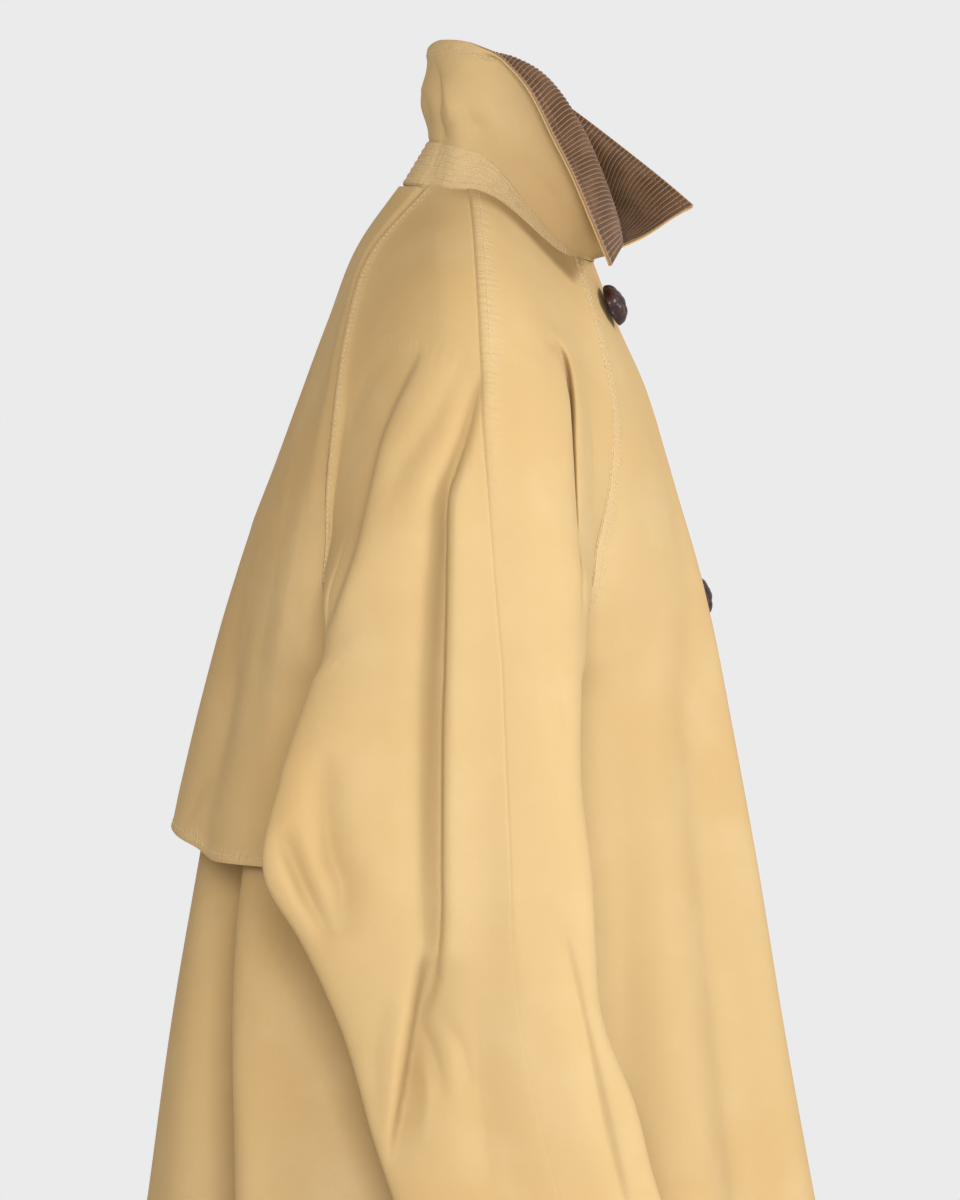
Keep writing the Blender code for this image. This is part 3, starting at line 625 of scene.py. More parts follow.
# The line that the front's cloth would hang from, without the corner under the arm.
FRONT_HANG = Table(
    "row out y z",
    *FRONT_RAGLAN.rows[:4],
    (0.75, 0.171, -0.080, -0.249),
    (0.90, 0.188, -0.055, -0.308),
    (1.00, 0.200, -0.035, -0.357),
    (1.16, 0.220, -0.010, -0.460),
    (1.34, 0.238, 0.006, -0.576),
    *SIDE_SEAM.rows[-2:],
)
FRONT_HANG_SHARE = 0.6
FRONT_PUCKERS = 0.003
FRONT_CREASE_FADE = 0.03
FRONT_CREASE_TURN = 0.6
RAGLAN_STITCHES = (float(SEAM_BAND[NARROW_STITCH]), float(SEAM_BAND[WIDE_STITCH]))
FRONT_CREASES = (
    (((-0.098, -0.330), (-0.104, -0.470), (-0.100, -0.620), (-0.096, -0.760)), 0.026, 0.022, -0.0060),
    (((-0.150, -0.300), (-0.172, -0.470), (-0.192, -0.660), (-0.212, -0.860)), 0.024, 0.028, -0.0050),
    (((-0.085, -0.120), (-0.098, -0.200), (-0.112, -0.320)), 0.012, 0.016, 0.0020),
)


def front_panel(rows, across):
    """The front's points: its cloth hangs smoothly, and turns into the corner under the arm at its seam."""
    rows, across = np.broadcast_arrays(rows, across)
    hang = FRONT_HANG.read("out y z", rows)
    at_seam = smooth((np.abs(across) - FRONT_HANG_SHARE) / (1 - FRONT_HANG_SHARE))
    edge = hang + (panel_edge(FRONT_RAGLAN, rows) - hang) * at_seam[..., None]
    return body_panel("front", CENTRE_FRONT, edge, rows, across)


def lap_across(rows):
    """The share of the front's arc that reaches the lap's width past the centre line."""
    arc = panel_arc("front", rows)
    return np.arcsin(LAP * np.sin(arc) / panel_edge(FRONT_RAGLAN, rows)[..., 0]) / arc


def across_from_lap(rows, share):
    """Places across the front, by the share of the way from the lap's edge to the seam."""
    lap = lap_across(rows)
    return lap * (share - 1) + share


def front_from_lap(rows, share):
    return front_panel(rows, across_from_lap(rows, share))


front_share = spaced(front_from_lap, body_rows, FRONT_STEPS, FRONT_EDGE_BAND, SEAM_BAND, 0, 1)
front_across = across_from_lap(body_rows[:, None], front_share)
lap_edge = lap_across(body_rows[:, None]) * LAP_STEP_START
step_edge = lap_edge + (1 - lap_edge) * LAP_STEP_SHARE
sunk = smooth((step_edge - front_across) / (step_edge - lap_edge)) * (CLOTH + LAP_CLEARANCE)
edge_column = int(np.argmin(np.abs(FRONT_EDGE_BAND - FRONT_EDGE_STITCH)))
for side, sign in (("right", -1), ("left", 1)):
    points = front_panel(body_rows[:, None], sign * front_across)
    normals = outwards(points) * -sign
    if side == "left":
        points = points - normals * sunk[..., None]
    from_edge = lengths(points, 1)
    from_seam = from_edge[:, -1:] - from_edge
    from_hem = above_hem(points)
    raglan = body_rows[:, None] < 1
    height = seam_relief(from_edge, (FRONT_EDGE_STITCH,), 0) + seam_relief(from_hem, (HEM_STITCH,), 0)
    height += np.where(raglan, seam_relief(from_seam, RAGLAN_STITCHES), seam_relief(from_seam, ()))
    turned = smooth(np.abs(normals[..., 0]) / FRONT_CREASE_TURN)
    height += crease_height(points, FRONT_CREASES) * smooth(from_seam / FRONT_CREASE_FADE) * turned
    height += draped(points, (from_edge, from_seam, from_hem), DRAPE_STRETCH, seed=7 + sign)
    points = points + normals * height[..., None]
    gathered = np.where(raglan, puckers(from_seam, RAGLAN_STITCHES, FRONT_PUCKERS), 0)
    gathered = gathered + puckers(from_edge, (FRONT_EDGE_STITCH,))
    way = slice(None, None, -sign)
    name = "front_" + side
    front = laid(name, name + "_cloth", "khaki_cotton", points[:, way], CLOTH, COTTON,
                 puckers_down=gathered[:, way], puckers_across=puckers(from_hem, (HEM_STITCH,))[:, way])
    lines = [(points[:, edge_column], normals[:, edge_column]), (points[hem_row], normals[hem_row])]
    lines += [(points[:SHOULDER_STEPS, -1 - column], normals[:SHOULDER_STEPS, -1 - column])
              for column in (NARROW_STITCH, WIDE_STITCH)]
    front_thread = stitched(name + "_stitching", lines, STITCH, thread)

# The sleeves: wide two-piece raglan sleeves that run up to the neck, with a seam over the shoulder and
# down the arm and one under it. Their cloth falls in long folds from the shoulder and bends at the elbow.
SLEEVE_HEAD = (
    (0.00, 0.072, 0.008, -0.001, 0.028, 0.028, 45, 0.017, 0.017, 50),
    (0.20, 0.135, 0.005, -0.030, 0.035, 0.032, 50, 0.040, 0.030, 52),
    (0.40, 0.195, 0.002, -0.075, 0.046, 0.042, 54, 0.055, 0.045, 56),
    (0.60, 0.245, -0.002, -0.150, 0.060, 0.052, 60, 0.075, 0.062, 64),
    (0.80, 0.285, -0.008, -0.245, 0.066, 0.062, 84, 0.110, 0.080, 88),
    (0.92, 0.303, -0.012, -0.297, 0.070, 0.072, 120, 0.145, 0.095, 122),
)
SLEEVE_HEAD_COLUMNS = "row out y z front_top front_seam front_turn back_top back_seam back_turn"
SLEEVE_ARM = Table(
    "row out y z in_out in_y in_z front back tilt",
    (1.00, 0.315, -0.015, -0.330, 0.202, 0.018, -0.357, -0.069, 0.116, 0.00),
    (1.16, 0.333, -0.018, -0.405, 0.224, 0.022, -0.415, -0.069, 0.137, 0.00),
    (1.31, 0.346, -0.021, -0.478, 0.238, 0.026, -0.482, -0.077, 0.147, 0.00),
    (1.40, 0.349, -0.022, -0.520, 0.245, 0.022, -0.522, -0.079, 0.123, 0.00),
    (1.52, 0.352, -0.027, -0.575, 0.252, 0.010, -0.575, -0.083, 0.097, 0.05),
    (1.68, 0.356, -0.040, -0.645, 0.261, -0.010, -0.645, -0.106, 0.074, 0.15),
    (1.84, 0.361, -0.056, -0.708, 0.270, -0.034, -0.708, -0.121, 0.049, 0.25),
    (2.00, 0.366, -0.075, -0.770, 0.279, -0.058, -0.770, -0.143, 0.024, 0.33),
)
UNDERARM_TURN = 150.0
HANDLE_REACH = 0.75
ARM_STEPS = 84
SLEEVE_STEPS = {"front": 100, "back": 132}
CUFF_LENGTH = 0.44
OVERARM_STITCHES = (float(SEAM_BAND[WIDE_STITCH]),)
OVERARM_STITCH_ROW = 0.55
OVERARM_STITCH_FADE = 0.3
OVERARM_PUCKERS = 0.0075
OVERARM_FLATNESS = 0.8
OVERARM_FLAT_ROW = 1.1
OVERARM_FLAT_FADE = 0.4
BACK_RAGLAN_STITCH = 5
BACK_RAGLAN_STITCHES = (float(SEAM_BAND[BACK_RAGLAN_STITCH]),)
SLEEVE_SEAM_FADE = 0.02
SLEEVE_FOLD_FADE = 4.0
# Raised edges of the sleeve's two long folds, as y and z: at the back of the shoulder and down the middle.
SHOULDER_FOLD = ((0.037, -0.116), (0.061, -0.169), (0.071, -0.211), (0.081, -0.251), (0.094, -0.286),
                 (0.110, -0.326))
MIDDLE_FOLD = ((-0.003, -0.132), (0.005, -0.172), (0.013, -0.199), (0.018, -0.216), (0.019, -0.246),
               (0.020, -0.313), (0.022, -0.377), (0.023, -0.458), (0.024, -0.507), (0.029, -0.545))
# Folds and creases seen from the side: path down the sleeve as y and z, reach forwards, back, and push.
SLEEVE_CREASES = (
    # From the back of the shoulder to the sleeve's back edge: a raised edge over a hollow, and softer ones.
    (SHOULDER_FOLD, 0.038, 0.0030, 0.008),
    (((0.041, -0.114), (0.065, -0.169), (0.075, -0.211), (0.085, -0.251), (0.098, -0.286),
      (0.112, -0.326)), 0.0030, 0.032, -0.022),
    (((0.012, -0.118), (0.030, -0.160), (0.052, -0.195), (0.062, -0.225)), 0.010, 0.012, -0.0040),
    (((0.056, -0.108), (0.080, -0.140), (0.092, -0.175)), 0.006, 0.008, -0.0035),
    # From the overarm seam down the middle of the sleeve to the forearm, raised on its front side.
    (((-0.001, -0.132), (0.007, -0.172), (0.015, -0.199), (0.020, -0.216), (0.021, -0.246),
      (0.023, -0.313), (0.025, -0.377), (0.026, -0.458), (0.026, -0.507), (0.031, -0.545),
      (0.042, -0.574)), 0.003, 0.011, -0.014),
    (MIDDLE_FOLD, 0.028, 0.003, 0.005),
    (((0.028, -0.262), (0.030, -0.313), (0.033, -0.377), (0.034, -0.458), (0.034, -0.520)),
     0.006, 0.018, -0.003),
    (((0.034, -0.530), (0.043, -0.575), (0.050, -0.618), (0.060, -0.676)), 0.017, 0.005, -0.017),
    # The deep groove in front of the shoulder, the roll beside it, and the hollow before the seam.
    (((-0.044, -0.106), (-0.056, -0.117), (-0.060, -0.144), (-0.061, -0.176), (-0.064, -0.222),
      (-0.068, -0.257), (-0.071, -0.300)), 0.0028, 0.0022, -0.020),
    (((-0.050, -0.116), (-0.054, -0.144), (-0.056, -0.176), (-0.059, -0.222), (-0.063, -0.262)),
     0.004, 0.026, 0.005),
    (((-0.046, -0.102), (-0.062, -0.112), (-0.068, -0.150), (-0.070, -0.190), (-0.074, -0.240)),
     0.006, 0.005, 0.006),
    (((-0.073, -0.130), (-0.077, -0.177), (-0.077, -0.217), (-0.075, -0.262)), 0.005, 0.005, -0.006),
    # Back of the arm above the elbow, and the forearm's finer creases.
    (((0.108, -0.390), (0.103, -0.457), (0.094, -0.483), (0.095, -0.520)), 0.010, 0.014, -0.0100),
    (((0.136, -0.445), (0.128, -0.465), (0.116, -0.492), (0.102, -0.520)), 0.006, 0.010, -0.0095),
    (((-0.050, -0.343), (-0.055, -0.372), (-0.060, -0.408)), 0.004, 0.007, -0.0022),
    (((-0.057, -0.515), (-0.064, -0.543), (-0.079, -0.611), (-0.093, -0.674), (-0.101, -0.706)),
     0.003, 0.008, -0.0035),
    (((0.044, -0.572), (0.032, -0.596), (0.024, -0.630)), 0.004, 0.005, -0.0026),
    (((0.030, -0.568), (0.014, -0.590), (0.006, -0.622)), 0.005, 0.006, -0.0020),
    (((0.040, -0.600), (0.036, -0.625), (0.040, -0.660)), 0.004, 0.005, 0.0022),
    (((0.064, -0.560), (0.072, -0.600), (0.070, -0.650)), 0.006, 0.008, -0.0025),
    (((-0.020, -0.420), (-0.024, -0.500), (-0.034, -0.580)), 0.016, 0.016, 0.0022),
    (((0.004, -0.560), (0.000, -0.620), (-0.006, -0.690)), 0.014, 0.018, -0.0040),
)
# Where a fold's raised edge laps over the hollow beside it: path, reach forwards, back, and push backwards.
SLEEVE_LAPS = (
    (SHOULDER_FOLD, 0.014, 0.0020, 0.0040),
    (MIDDLE_FOLD, 0.014, 0.0020, 0.0035),
    (((-0.050, -0.112), (-0.056, -0.144), (-0.058, -0.176), (-0.061, -0.222), (-0.065, -0.262),
      (-0.068, -0.300)), 0.0020, 0.014, -0.0052),
)


def sleeve_head():
    """The sleeve head's table, ended by the row that the arm begins with."""
    arm = dict(zip(SLEEVE_ARM.columns, SLEEVE_ARM.rows[0]))
    lean = math.cos(math.radians(180 - UNDERARM_TURN)) * HANDLE_REACH
    last = (
        1.0, arm["out"], arm["y"], arm["z"],
        (arm["y"] - arm["front"]) / HANDLE_REACH, (arm["in_y"] - arm["front"]) / lean, UNDERARM_TURN,
        (arm["back"] - arm["y"]) / HANDLE_REACH, (arm["back"] - arm["in_y"]) / lean, UNDERARM_TURN,
    )
    return Table(SLEEVE_HEAD_COLUMNS, *SLEEVE_HEAD, last)


HEAD = sleeve_head()


def sleeve_half(name, rows, along):
    """Points of the right sleeve's front or back half, from the overarm line (0) to its seam (1)."""
    rows, along = np.broadcast_arrays(rows, along)
    facing = 1 if name == "back" else -1
    on_arm = rows >= 1
    raglan = BACK_RAGLAN if name == "back" else FRONT_RAGLAN
    underarm = SLEEVE_ARM.read("in_out in_y in_z", rows)
    top = np.where(on_arm[..., None], SLEEVE_ARM.read("out y z", rows), HEAD.read("out y z", rows))
    seam = np.where(on_arm[..., None], underarm, raglan.read("out y z", rows))
    reach = SLEEVE_ARM.read(name, rows)
    lean = math.cos(math.radians(180 - UNDERARM_TURN)) * HANDLE_REACH
    top_reach = np.where(on_arm, np.abs(reach - top[..., 1]) / HANDLE_REACH, HEAD.read(name + "_top", rows))
    seam_reach = np.where(on_arm, np.abs(reach - seam[..., 1]) / lean, HEAD.read(name + "_seam", rows))
    turn = np.radians(np.where(on_arm, UNDERARM_TURN, HEAD.read(name + "_turn", rows)))
    top_handle = top.copy()
    top_handle[..., 1] += facing * top_reach
    seam_handle = seam.copy()
    seam_handle[..., 0] += np.sin(turn) * seam_reach
    seam_handle[..., 1] -= facing * np.cos(turn) * seam_reach
    t = along[..., None]
    points = ((1 - t) ** 3 * top + 3 * (1 - t) ** 2 * t * top_handle
              + 3 * (1 - t) * t ** 2 * seam_handle + t ** 3 * seam)
    middle = SLEEVE_ARM.read("front back", rows).mean(axis=-1)
    points[..., 2] += np.where(on_arm, SLEEVE_ARM.read("tilt", rows) * (middle - points[..., 1]), 0)
    points[..., 0] *= -1
    return points


cuff_rows = 2 - HEM_BAND[::-1] / CUFF_LENGTH
arm_rows = np.linspace(1, cuff_rows[0], ARM_STEPS + 1)[1:-1]
sleeve_rows = np.concatenate([shoulder_rows, arm_rows, cuff_rows])
cuff_row = len(sleeve_rows) - len(body_rows) + hem_row
mirror = np.array((-1.0, 1.0, 1.0))
for half, facing in (("front", -1), ("back", 1)):
    panel = partial(sleeve_half, half)
    along = spaced(panel, sleeve_rows, SLEEVE_STEPS[half], SEAM_BAND, SEAM_BAND, 0, 1)
    plain = panel(sleeve_rows[:, None], along)
    plain_normals = outwards(plain) * facing
    from_overarm = lengths(plain, 1)
    from_seam = from_overarm[:, -1:] - from_overarm
    from_cuff = above_hem(plain)
    raglan = sleeve_rows[:, None] < 1
    overarm_stitches = OVERARM_STITCHES if half == "front" else ()
    raglan_stitches = BACK_RAGLAN_STITCHES if half == "back" else ()
    high = 1 - smooth((sleeve_rows[:, None] - OVERARM_STITCH_ROW) / OVERARM_STITCH_FADE)
    lying = 1 - OVERARM_FLATNESS * smooth((sleeve_rows[:, None] - OVERARM_FLAT_ROW) / OVERARM_FLAT_FADE)
    relief = seam_relief(from_overarm, ()) * lying + seam_relief(from_overarm, overarm_stitches, 0) * high
    relief += seam_relief(from_cuff, (HEM_STITCH,), 0)
    relief += np.where(raglan, seam_relief(from_seam, raglan_stitches), seam_relief(from_seam, ()))
    gathered = puckers(from_overarm, overarm_stitches, OVERARM_PUCKERS) * high
    gathered += np.where(raglan, puckers(from_seam, raglan_stitches), 0)
    outer = np.clip(-SLEEVE_FOLD_FADE * plain_normals[..., 0], 0, 1) * smooth(from_seam / SLEEVE_SEAM_FADE)
    folds = crease_height(plain, SLEEVE_CREASES) * outer
    laps = crease_height(plain, SLEEVE_LAPS) * outer
    for side, sign in (("right", 1), ("left", -1)):
        seed = 11 + facing + 4 * sign
        height = relief + draped(plain, (from_overarm, from_seam, from_cuff), DRAPE_STRETCH, seed)
        points = plain + plain_normals * height[..., None]
        points[..., 0] -= folds
        points[..., 1] += laps
        normals = plain_normals
        if side == "left":
            points, normals = points * mirror, normals * mirror
        way = slice(None, None, facing * sign)
        name = "sleeve_%s_%s" % (side, half)
        sleeve = laid(name, name + "_cloth", "khaki_cotton", points[:, way], CLOTH, COTTON,
                      puckers_down=gathered[:, way],
                      puckers_across=puckers(from_cuff, (HEM_STITCH,))[:, way])
        lines = [(points[cuff_row], normals[cuff_row])]
        if half == "front":
            top = sleeve_rows < OVERARM_STITCH_ROW
            lines.append((points[top, WIDE_STITCH], normals[top, WIDE_STITCH]))
        else:
            column = -1 - BACK_RAGLAN_STITCH
            lines.append((points[:SHOULDER_STEPS, column], normals[:SHOULDER_STEPS, column]))
        sleeve_thread = stitched(name + "_stitching", lines, STITCH, thread)

# The collar's stand: a band of doubled cotton round the neck, stiffened by close rows of topstitching,
# that tapers to nothing at the front. It carries the leaf.
COLLAR_END = 0.985
# How far the collar's pieces reach down into the seams below them.
SEAM_TUCK = 0.0003
# The collar's tables begin with a mirrored row, so that their curves run level at the centre back.
STAND = Table(
    "place height lean",
    (-0.35, 0.0285, -0.0050),
    (0.00, 0.0300, -0.0180),
    (0.35, 0.0285, -0.0050),
    (0.55, 0.0200, 0.0020),
    (0.72, 0.0085, 0.0010),
    (0.86, 0.0030, 0.0000),
    (1.00, 0.0020, 0.0000),
)
STAND_PLACES = 320
STAND_ROWS = 28
STAND_LINES = 7
STAND_QUILTING = 0.0009
STAND_PLAIN_HEIGHT = 0.002
STAND_QUILT_RISE = 0.010
STAND_STITCHED = 0.3
STAND_PUCKERS = 0.75
STAND_STITCH = 0.0027
RING_SAMPLES = 60

neck = np.zeros(1)
ring_line = np.concatenate([
    back_panel(neck, np.linspace(0, -1, RING_SAMPLES)),
    sleeve_half("back", neck, np.linspace(1, 0, RING_SAMPLES))[1:],
    sleeve_half("front", neck, np.linspace(0, 1, RING_SAMPLES))[1:],
    front_panel(neck, np.linspace(-1, 0, RING_SAMPLES))[1:],
])
ring_run = lengths(ring_line, 0)


def collar_base(places):
    """The stand's foot and top round the whole collar: places run from -1, right end, to 1, left."""
    share = np.abs(places) * ring_run[-1]
    foot = read_along(ring_line, ring_run, share)
    foot[:, 0] *= np.where(places < 0, 1, -1)
    foot[:, 2] -= SEAM_TUCK
    size = STAND.read("height lean", np.abs(places))
    return foot, foot + np.stack([np.zeros(places.shape), size[:, 1], size[:, 0]], axis=-1)


places = np.linspace(-COLLAR_END, COLLAR_END, STAND_PLACES + 1)
foot, top = collar_base(places)
share = np.linspace(0, 1, STAND_ROWS + 1)
points = foot[:, None] + (top - foot)[:, None] * share[None, :, None]
normals = outwards(points)
tall = smooth((np.linalg.norm(top - foot, axis=-1) - STAND_PLAIN_HEIGHT) / STAND_QUILT_RISE)[:, None]
height = STAND_QUILTING * tall * np.abs(np.sin(share * STAND_LINES * math.pi))[None, :]
points = points + normals * height[..., None]
stand = laid("collar_stand", "collar_stand_cloth", "khaki_cotton", points, CLOTH, COTTON,
             puckers_down=STAND_PUCKERS * tall, puckers_across=STAND_PUCKERS * tall)
lines = []
stitched_places = np.flatnonzero(tall[:, 0] > STAND_STITCHED)
for line in range(1, STAND_LINES):
    column = round(line * STAND_ROWS / STAND_LINES)
    lines.append((points[stitched_places, column], normals[stitched_places, column]))
stand_thread = stitched("collar_stand_stitching", lines, STAND_STITCH, thread)

# The collar's leaf: a wide cotton leaf that is stood up all round, rolled outwards on the right and
# spread forwards on the left. Its free edge is topstitched.
COLLAR_CLOTH = 0.0012
LEAF_COLUMNS = "place crest_x crest_y crest_z edge_x edge_y edge_z"
RIGHT_LEAF = Table(
    LEAF_COLUMNS,
    (-0.20, 0.047, 0.0290, 0.088, 0.049, 0.0260, 0.104),
    (0.00, 0.000, 0.0390, 0.084, 0.000, 0.0360, 0.100),
    (0.20, -0.047, 0.0290, 0.088, -0.049, 0.0260, 0.104),
    (0.38, -0.074, 0.0080, 0.085, -0.078, 0.0040, 0.100),
    (0.52, -0.082, -0.0220, 0.087, -0.092, -0.0175, 0.086),
    (0.62, -0.083, -0.0460, 0.074, -0.101, -0.0340, 0.066),
    (0.72, -0.079, -0.0670, 0.045, -0.104, -0.0500, 0.034),
    (0.82, -0.069, -0.0820, 0.012, -0.099, -0.0640, 0.006),
    (0.91, -0.054, -0.0930, -0.020, -0.088, -0.0780, -0.027),
    (1.00, -0.038, -0.0980, -0.044, -0.071, -0.0920, -0.060),
)
LEFT_LEAF = Table(
    LEAF_COLUMNS,
    (-0.20, -0.047, 0.0290, 0.088, -0.049, 0.0260, 0.104),
    (0.00, 0.000, 0.0390, 0.084, 0.000, 0.0360, 0.100),
    (0.20, 0.047, 0.0290, 0.088, 0.049, 0.0260, 0.104),
    (0.38, 0.074, 0.0080, 0.085, 0.078, 0.0040, 0.099),
    (0.52, 0.082, -0.0240, 0.070, 0.087, -0.0290, 0.083),
    (0.65, 0.078, -0.0580, 0.047, 0.085, -0.0640, 0.058),
    (0.78, 0.066, -0.0920, 0.020, 0.076, -0.1000, 0.030),
    (0.90, 0.050, -0.1200, -0.005, 0.061, -0.1310, 0.005),
    (1.00, 0.038, -0.1380, -0.022, 0.046, -0.1530, -0.014),
)
LEAF_BULGE = 0.006
LEAF_KNOTS = (0.0, 0.5, 1.0, 1.45)
LEAF_PLACES = 240
LEAF_STEPS = 44
LEAF_STITCH = 0.0064
LEAF_CREASE_FADE = 0.012
LEAF_CREASES = (
    (((0.034, 0.093), (0.030, 0.070), (0.031, 0.050), (0.024, 0.034)), 0.003, 0.009, -0.0050),
    (((0.026, 0.078), (0.022, 0.060), (0.020, 0.044)), 0.006, 0.004, 0.0026),
    (((0.042, 0.070), (0.040, 0.052), (0.036, 0.038)), 0.003, 0.004, -0.0022),
    (((0.012, 0.060), (0.006, 0.046), (-0.004, 0.040)), 0.006, 0.007, -0.0022),
    (((0.004, 0.080), (-0.008, 0.052), (-0.020, 0.018)), 0.010, 0.010, 0.0016),
    (((-0.030, 0.020), (-0.048, -0.004), (-0.062, -0.030)), 0.006, 0.008, -0.0018),
)


def collar_leaf(places, steps):
    """The leaf's outer points, from the stand's top over the crest to the free edge."""
    top = collar_base(places)[1]
    on_right = (places < 0)[:, None]
    span = np.abs(places)
    crest, edge = (
        np.where(on_right, RIGHT_LEAF.read(names, span), LEFT_LEAF.read(names, span))
        for names in ("crest_x crest_y crest_z", "edge_x edge_y edge_z"))
    start = top - np.array((0, 0, SEAM_TUCK))
    middle = (start + crest) / 2
    middle = middle + unit(middle * np.array((1.0, 1.0, 0))) * LEAF_BULGE
    return np.swapaxes(curve_through(LEAF_KNOTS, (start, middle, crest, edge), steps), 0, 1)


def creased_leaf(places, steps):
    """The worn leaf's points, its normals, and each point's distance from the free edge."""
    points = collar_leaf(places, np.linspace(0, LEAF_KNOTS[-1], steps + 1))
    normals = outwards(points)
    from_stand = lengths(points, 1)
    from_edge = from_stand[:, -1:] - from_stand
    height = crease_height(points, LEAF_CREASES) * smooth(from_edge / LEAF_CREASE_FADE)
    return points + normals * height[..., None], normals, from_edge


places = np.linspace(-COLLAR_END, COLLAR_END, LEAF_PLACES + 1)
points, normals, from_edge = creased_leaf(places, LEAF_STEPS)
points = points + normals * seam_relief(from_edge, (LEAF_STITCH,), 0)[..., None]
leaf = laid("collar_leaf", "collar_leaf_cloth", "khaki_cotton", points, COLLAR_CLOTH, COTTON,
            puckers_down=0.0, puckers_across=puckers(from_edge, (LEAF_STITCH,)))


def line_at(points, normals, distance, place):
    """The line across a grid at a distance from its edge, with its normals."""
    share = [np.interp(-place, -row, np.arange(len(row))) for row in distance]
    left = np.minimum(np.floor(share).astype(int), points.shape[1] - 2)
    part = (np.array(share) - left)[:, None]
    row = np.arange(len(points))
    return tuple(grid[row, left] * (1 - part) + grid[row, left + 1] * part for grid in (points, normals))


edge_line = line_at(points, normals, from_edge, LEAF_STITCH)
leaf_thread = stitched("collar_leaf_stitching", [edge_line], STITCH, thread)

# The collar's facing: brown corduroy on the inside of the leaf, with its wales across the collar from
# the stand to the edge. It is sewn to the leaf round the free edge.
WALE = 0.0033
WALE_HEIGHT = 0.0009
WALE_SAMPLES = 6
WALE_ROUNDNESS = 0.7
PILE_EDGE = 0.002
STITCH_FLATTENING = 0.6
STITCH_FLAT_WIDTH = 0.0012
CREST_SAMPLES = 801
CREST_STEP = 0.9
FACING_STEPS = 30
FACING_GAP = 0.0003
CORDUROY_PILE = (0.085, 0.045, 0.020, 1.0)
CORDUROY_WORN = (0.125, 0.069, 0.034, 1.0)
CORDUROY_GROUND = (0.270, 0.162, 0.086, 1.0)
CORDUROY_THREAD = (0.160, 0.100, 0.060, 1.0)


def brown_corduroy():
    """Cut pile in rounded wales, worn in places, with the paler ground cloth between them."""
    material, shader, start = new_material("brown_corduroy", 0.92)
    shader.inputs["Sheen Weight"].default_value = 0.35
    shader.inputs["Sheen Roughness"].default_value = 0.40
    shader.inputs["Sheen Tint"].default_value = (0.80, 0.62, 0.48, 1.0)
    shader.inputs["Specular IOR Level"].default_value = 0.15
    place = start.node("ShaderNodeTexCoord", {}, "Object")
    pile = start.attribute("pile")
    tufts = start.noise(place, 900.0, 2.0)
    wear = start.noise(place, 60.0, 3.0)
    worn = (wear + (tufts - 0.5) * 0.5).between(0.40, 0.68)
    ground = (pile + (tufts - 0.5) * 0.35).between(0.50, 0.12)
    colour = ground.mix(worn.mix(CORDUROY_PILE, CORDUROY_WORN), CORDUROY_GROUND)
    colour.feed(shader, "Base Color")
    tufts.bump(0.6, 0.0008).feed(shader, "Normal")
    return material


CORDUROY = brown_corduroy()
crest_places = np.linspace(-COLLAR_END, COLLAR_END, CREST_SAMPLES)
crest_run = lengths(collar_leaf(crest_places, np.array([CREST_STEP]))[:, 0], 0)
wales = round(crest_run[-1] / WALE)
wale_share = np.linspace(0, wales, wales * WALE_SAMPLES + 1)
places = np.interp(wale_share / wales * crest_run[-1], crest_run, crest_places)
leaf_points, normals, from_edge = creased_leaf(places, FACING_STEPS)
wale = np.abs(np.sin(wale_share * math.pi))[:, None] ** WALE_ROUNDNESS * np.ones(from_edge.shape)
sewn_down = np.exp(-(((from_edge - LEAF_STITCH) / STITCH_FLAT_WIDTH) ** 2))
pile = wale * smooth(from_edge / PILE_EDGE) * (1 - STITCH_FLATTENING * sewn_down)
depth = 2 * COLLAR_CLOTH + FACING_GAP + WALE_HEIGHT * (pile - 0.5)
points = leaf_points - normals * depth[..., None]
facing = laid("collar_facing", "collar_facing_cloth", "brown_corduroy", points[:, ::-1], COLLAR_CLOTH,
              CORDUROY, pile=pile[:, ::-1])
brown_thread, brown_thread_shader, _ = new_material("brown_thread", 0.75)
brown_thread_shader.inputs["Base Color"].default_value = CORDUROY_THREAD
edge_line = line_at(points, -normals, from_edge, LEAF_STITCH)
facing_thread = stitched("collar_facing_stitching", [edge_line], STITCH, brown_thread)

# The buttons: domes of dark brown leather straps braided over a core, sewn to the right front down the
# centre. The top of the front is drawn round to the right by the closed collar.
BUTTON_RADIUS = 0.0145
BUTTON_DOME = 0.0095
BUTTON_BACK = 0.0022
BUTTON_LIFT = 0.0026
BUTTON_SEGMENTS = 56
BUTTON_RINGS = 36
BUTTON_STRAPS = 1.55
BUTTON_TURN = 38
BUTTON_TURN_STEP = 17
STRAP_RELIEF = 0.32
STRAP_LEVEL = 0.4
STRAP_WEAVE = 0.35
STRAP_CROWN = 0.25
STRAP_NARROWING = 2.05
STRAP_MIDDLE = 0.8
RIM_STEEPNESS = 3
RIM_START = 0.8
BUTTON_PATCH = 0.01
BUTTONS = (
    (-0.085, -0.024),
    (-0.286, 0.010),
    (-0.495, 0.008),
    (-0.704, 0.008),
)
# Painted shade: this near-black colour stands in for the shade in the gaps between the braid's straps.
LEATHER_PAINTED_GAP_SHADE = (0.014, 0.005, 0.003, 1.0)
LEATHER_RUBBED = (0.056, 0.021, 0.012, 1.0)


def brown_leather():
    """Polished strap leather, with painted shade darkening the gaps of the braid."""
    material, shader, start = new_material("brown_leather", 0.38)
    shader.inputs["Coat Weight"].default_value = 0.15
    shader.inputs["Coat Roughness"].default_value = 0.25
    shader.inputs["Specular IOR Level"].default_value = 0.3
    place = start.node("ShaderNodeTexCoord", {}, "Object")
    strap = start.attribute("strap")
    grain = start.noise(place, 700.0, 3.0)
    # The colour runs from painted shade in the braid's low gaps to the plain strap leather on the raised
    # straps.
    rubbed = (strap + (grain - 0.5) * 0.4).between(0.45, 0.95)
    rubbed.mix(LEATHER_PAINTED_GAP_SHADE, LEATHER_RUBBED).feed(shader, "Base Color")
    grain.bump(0.25, 0.0004).feed(shader, "Normal")
    return material


LEATHER = brown_leather()


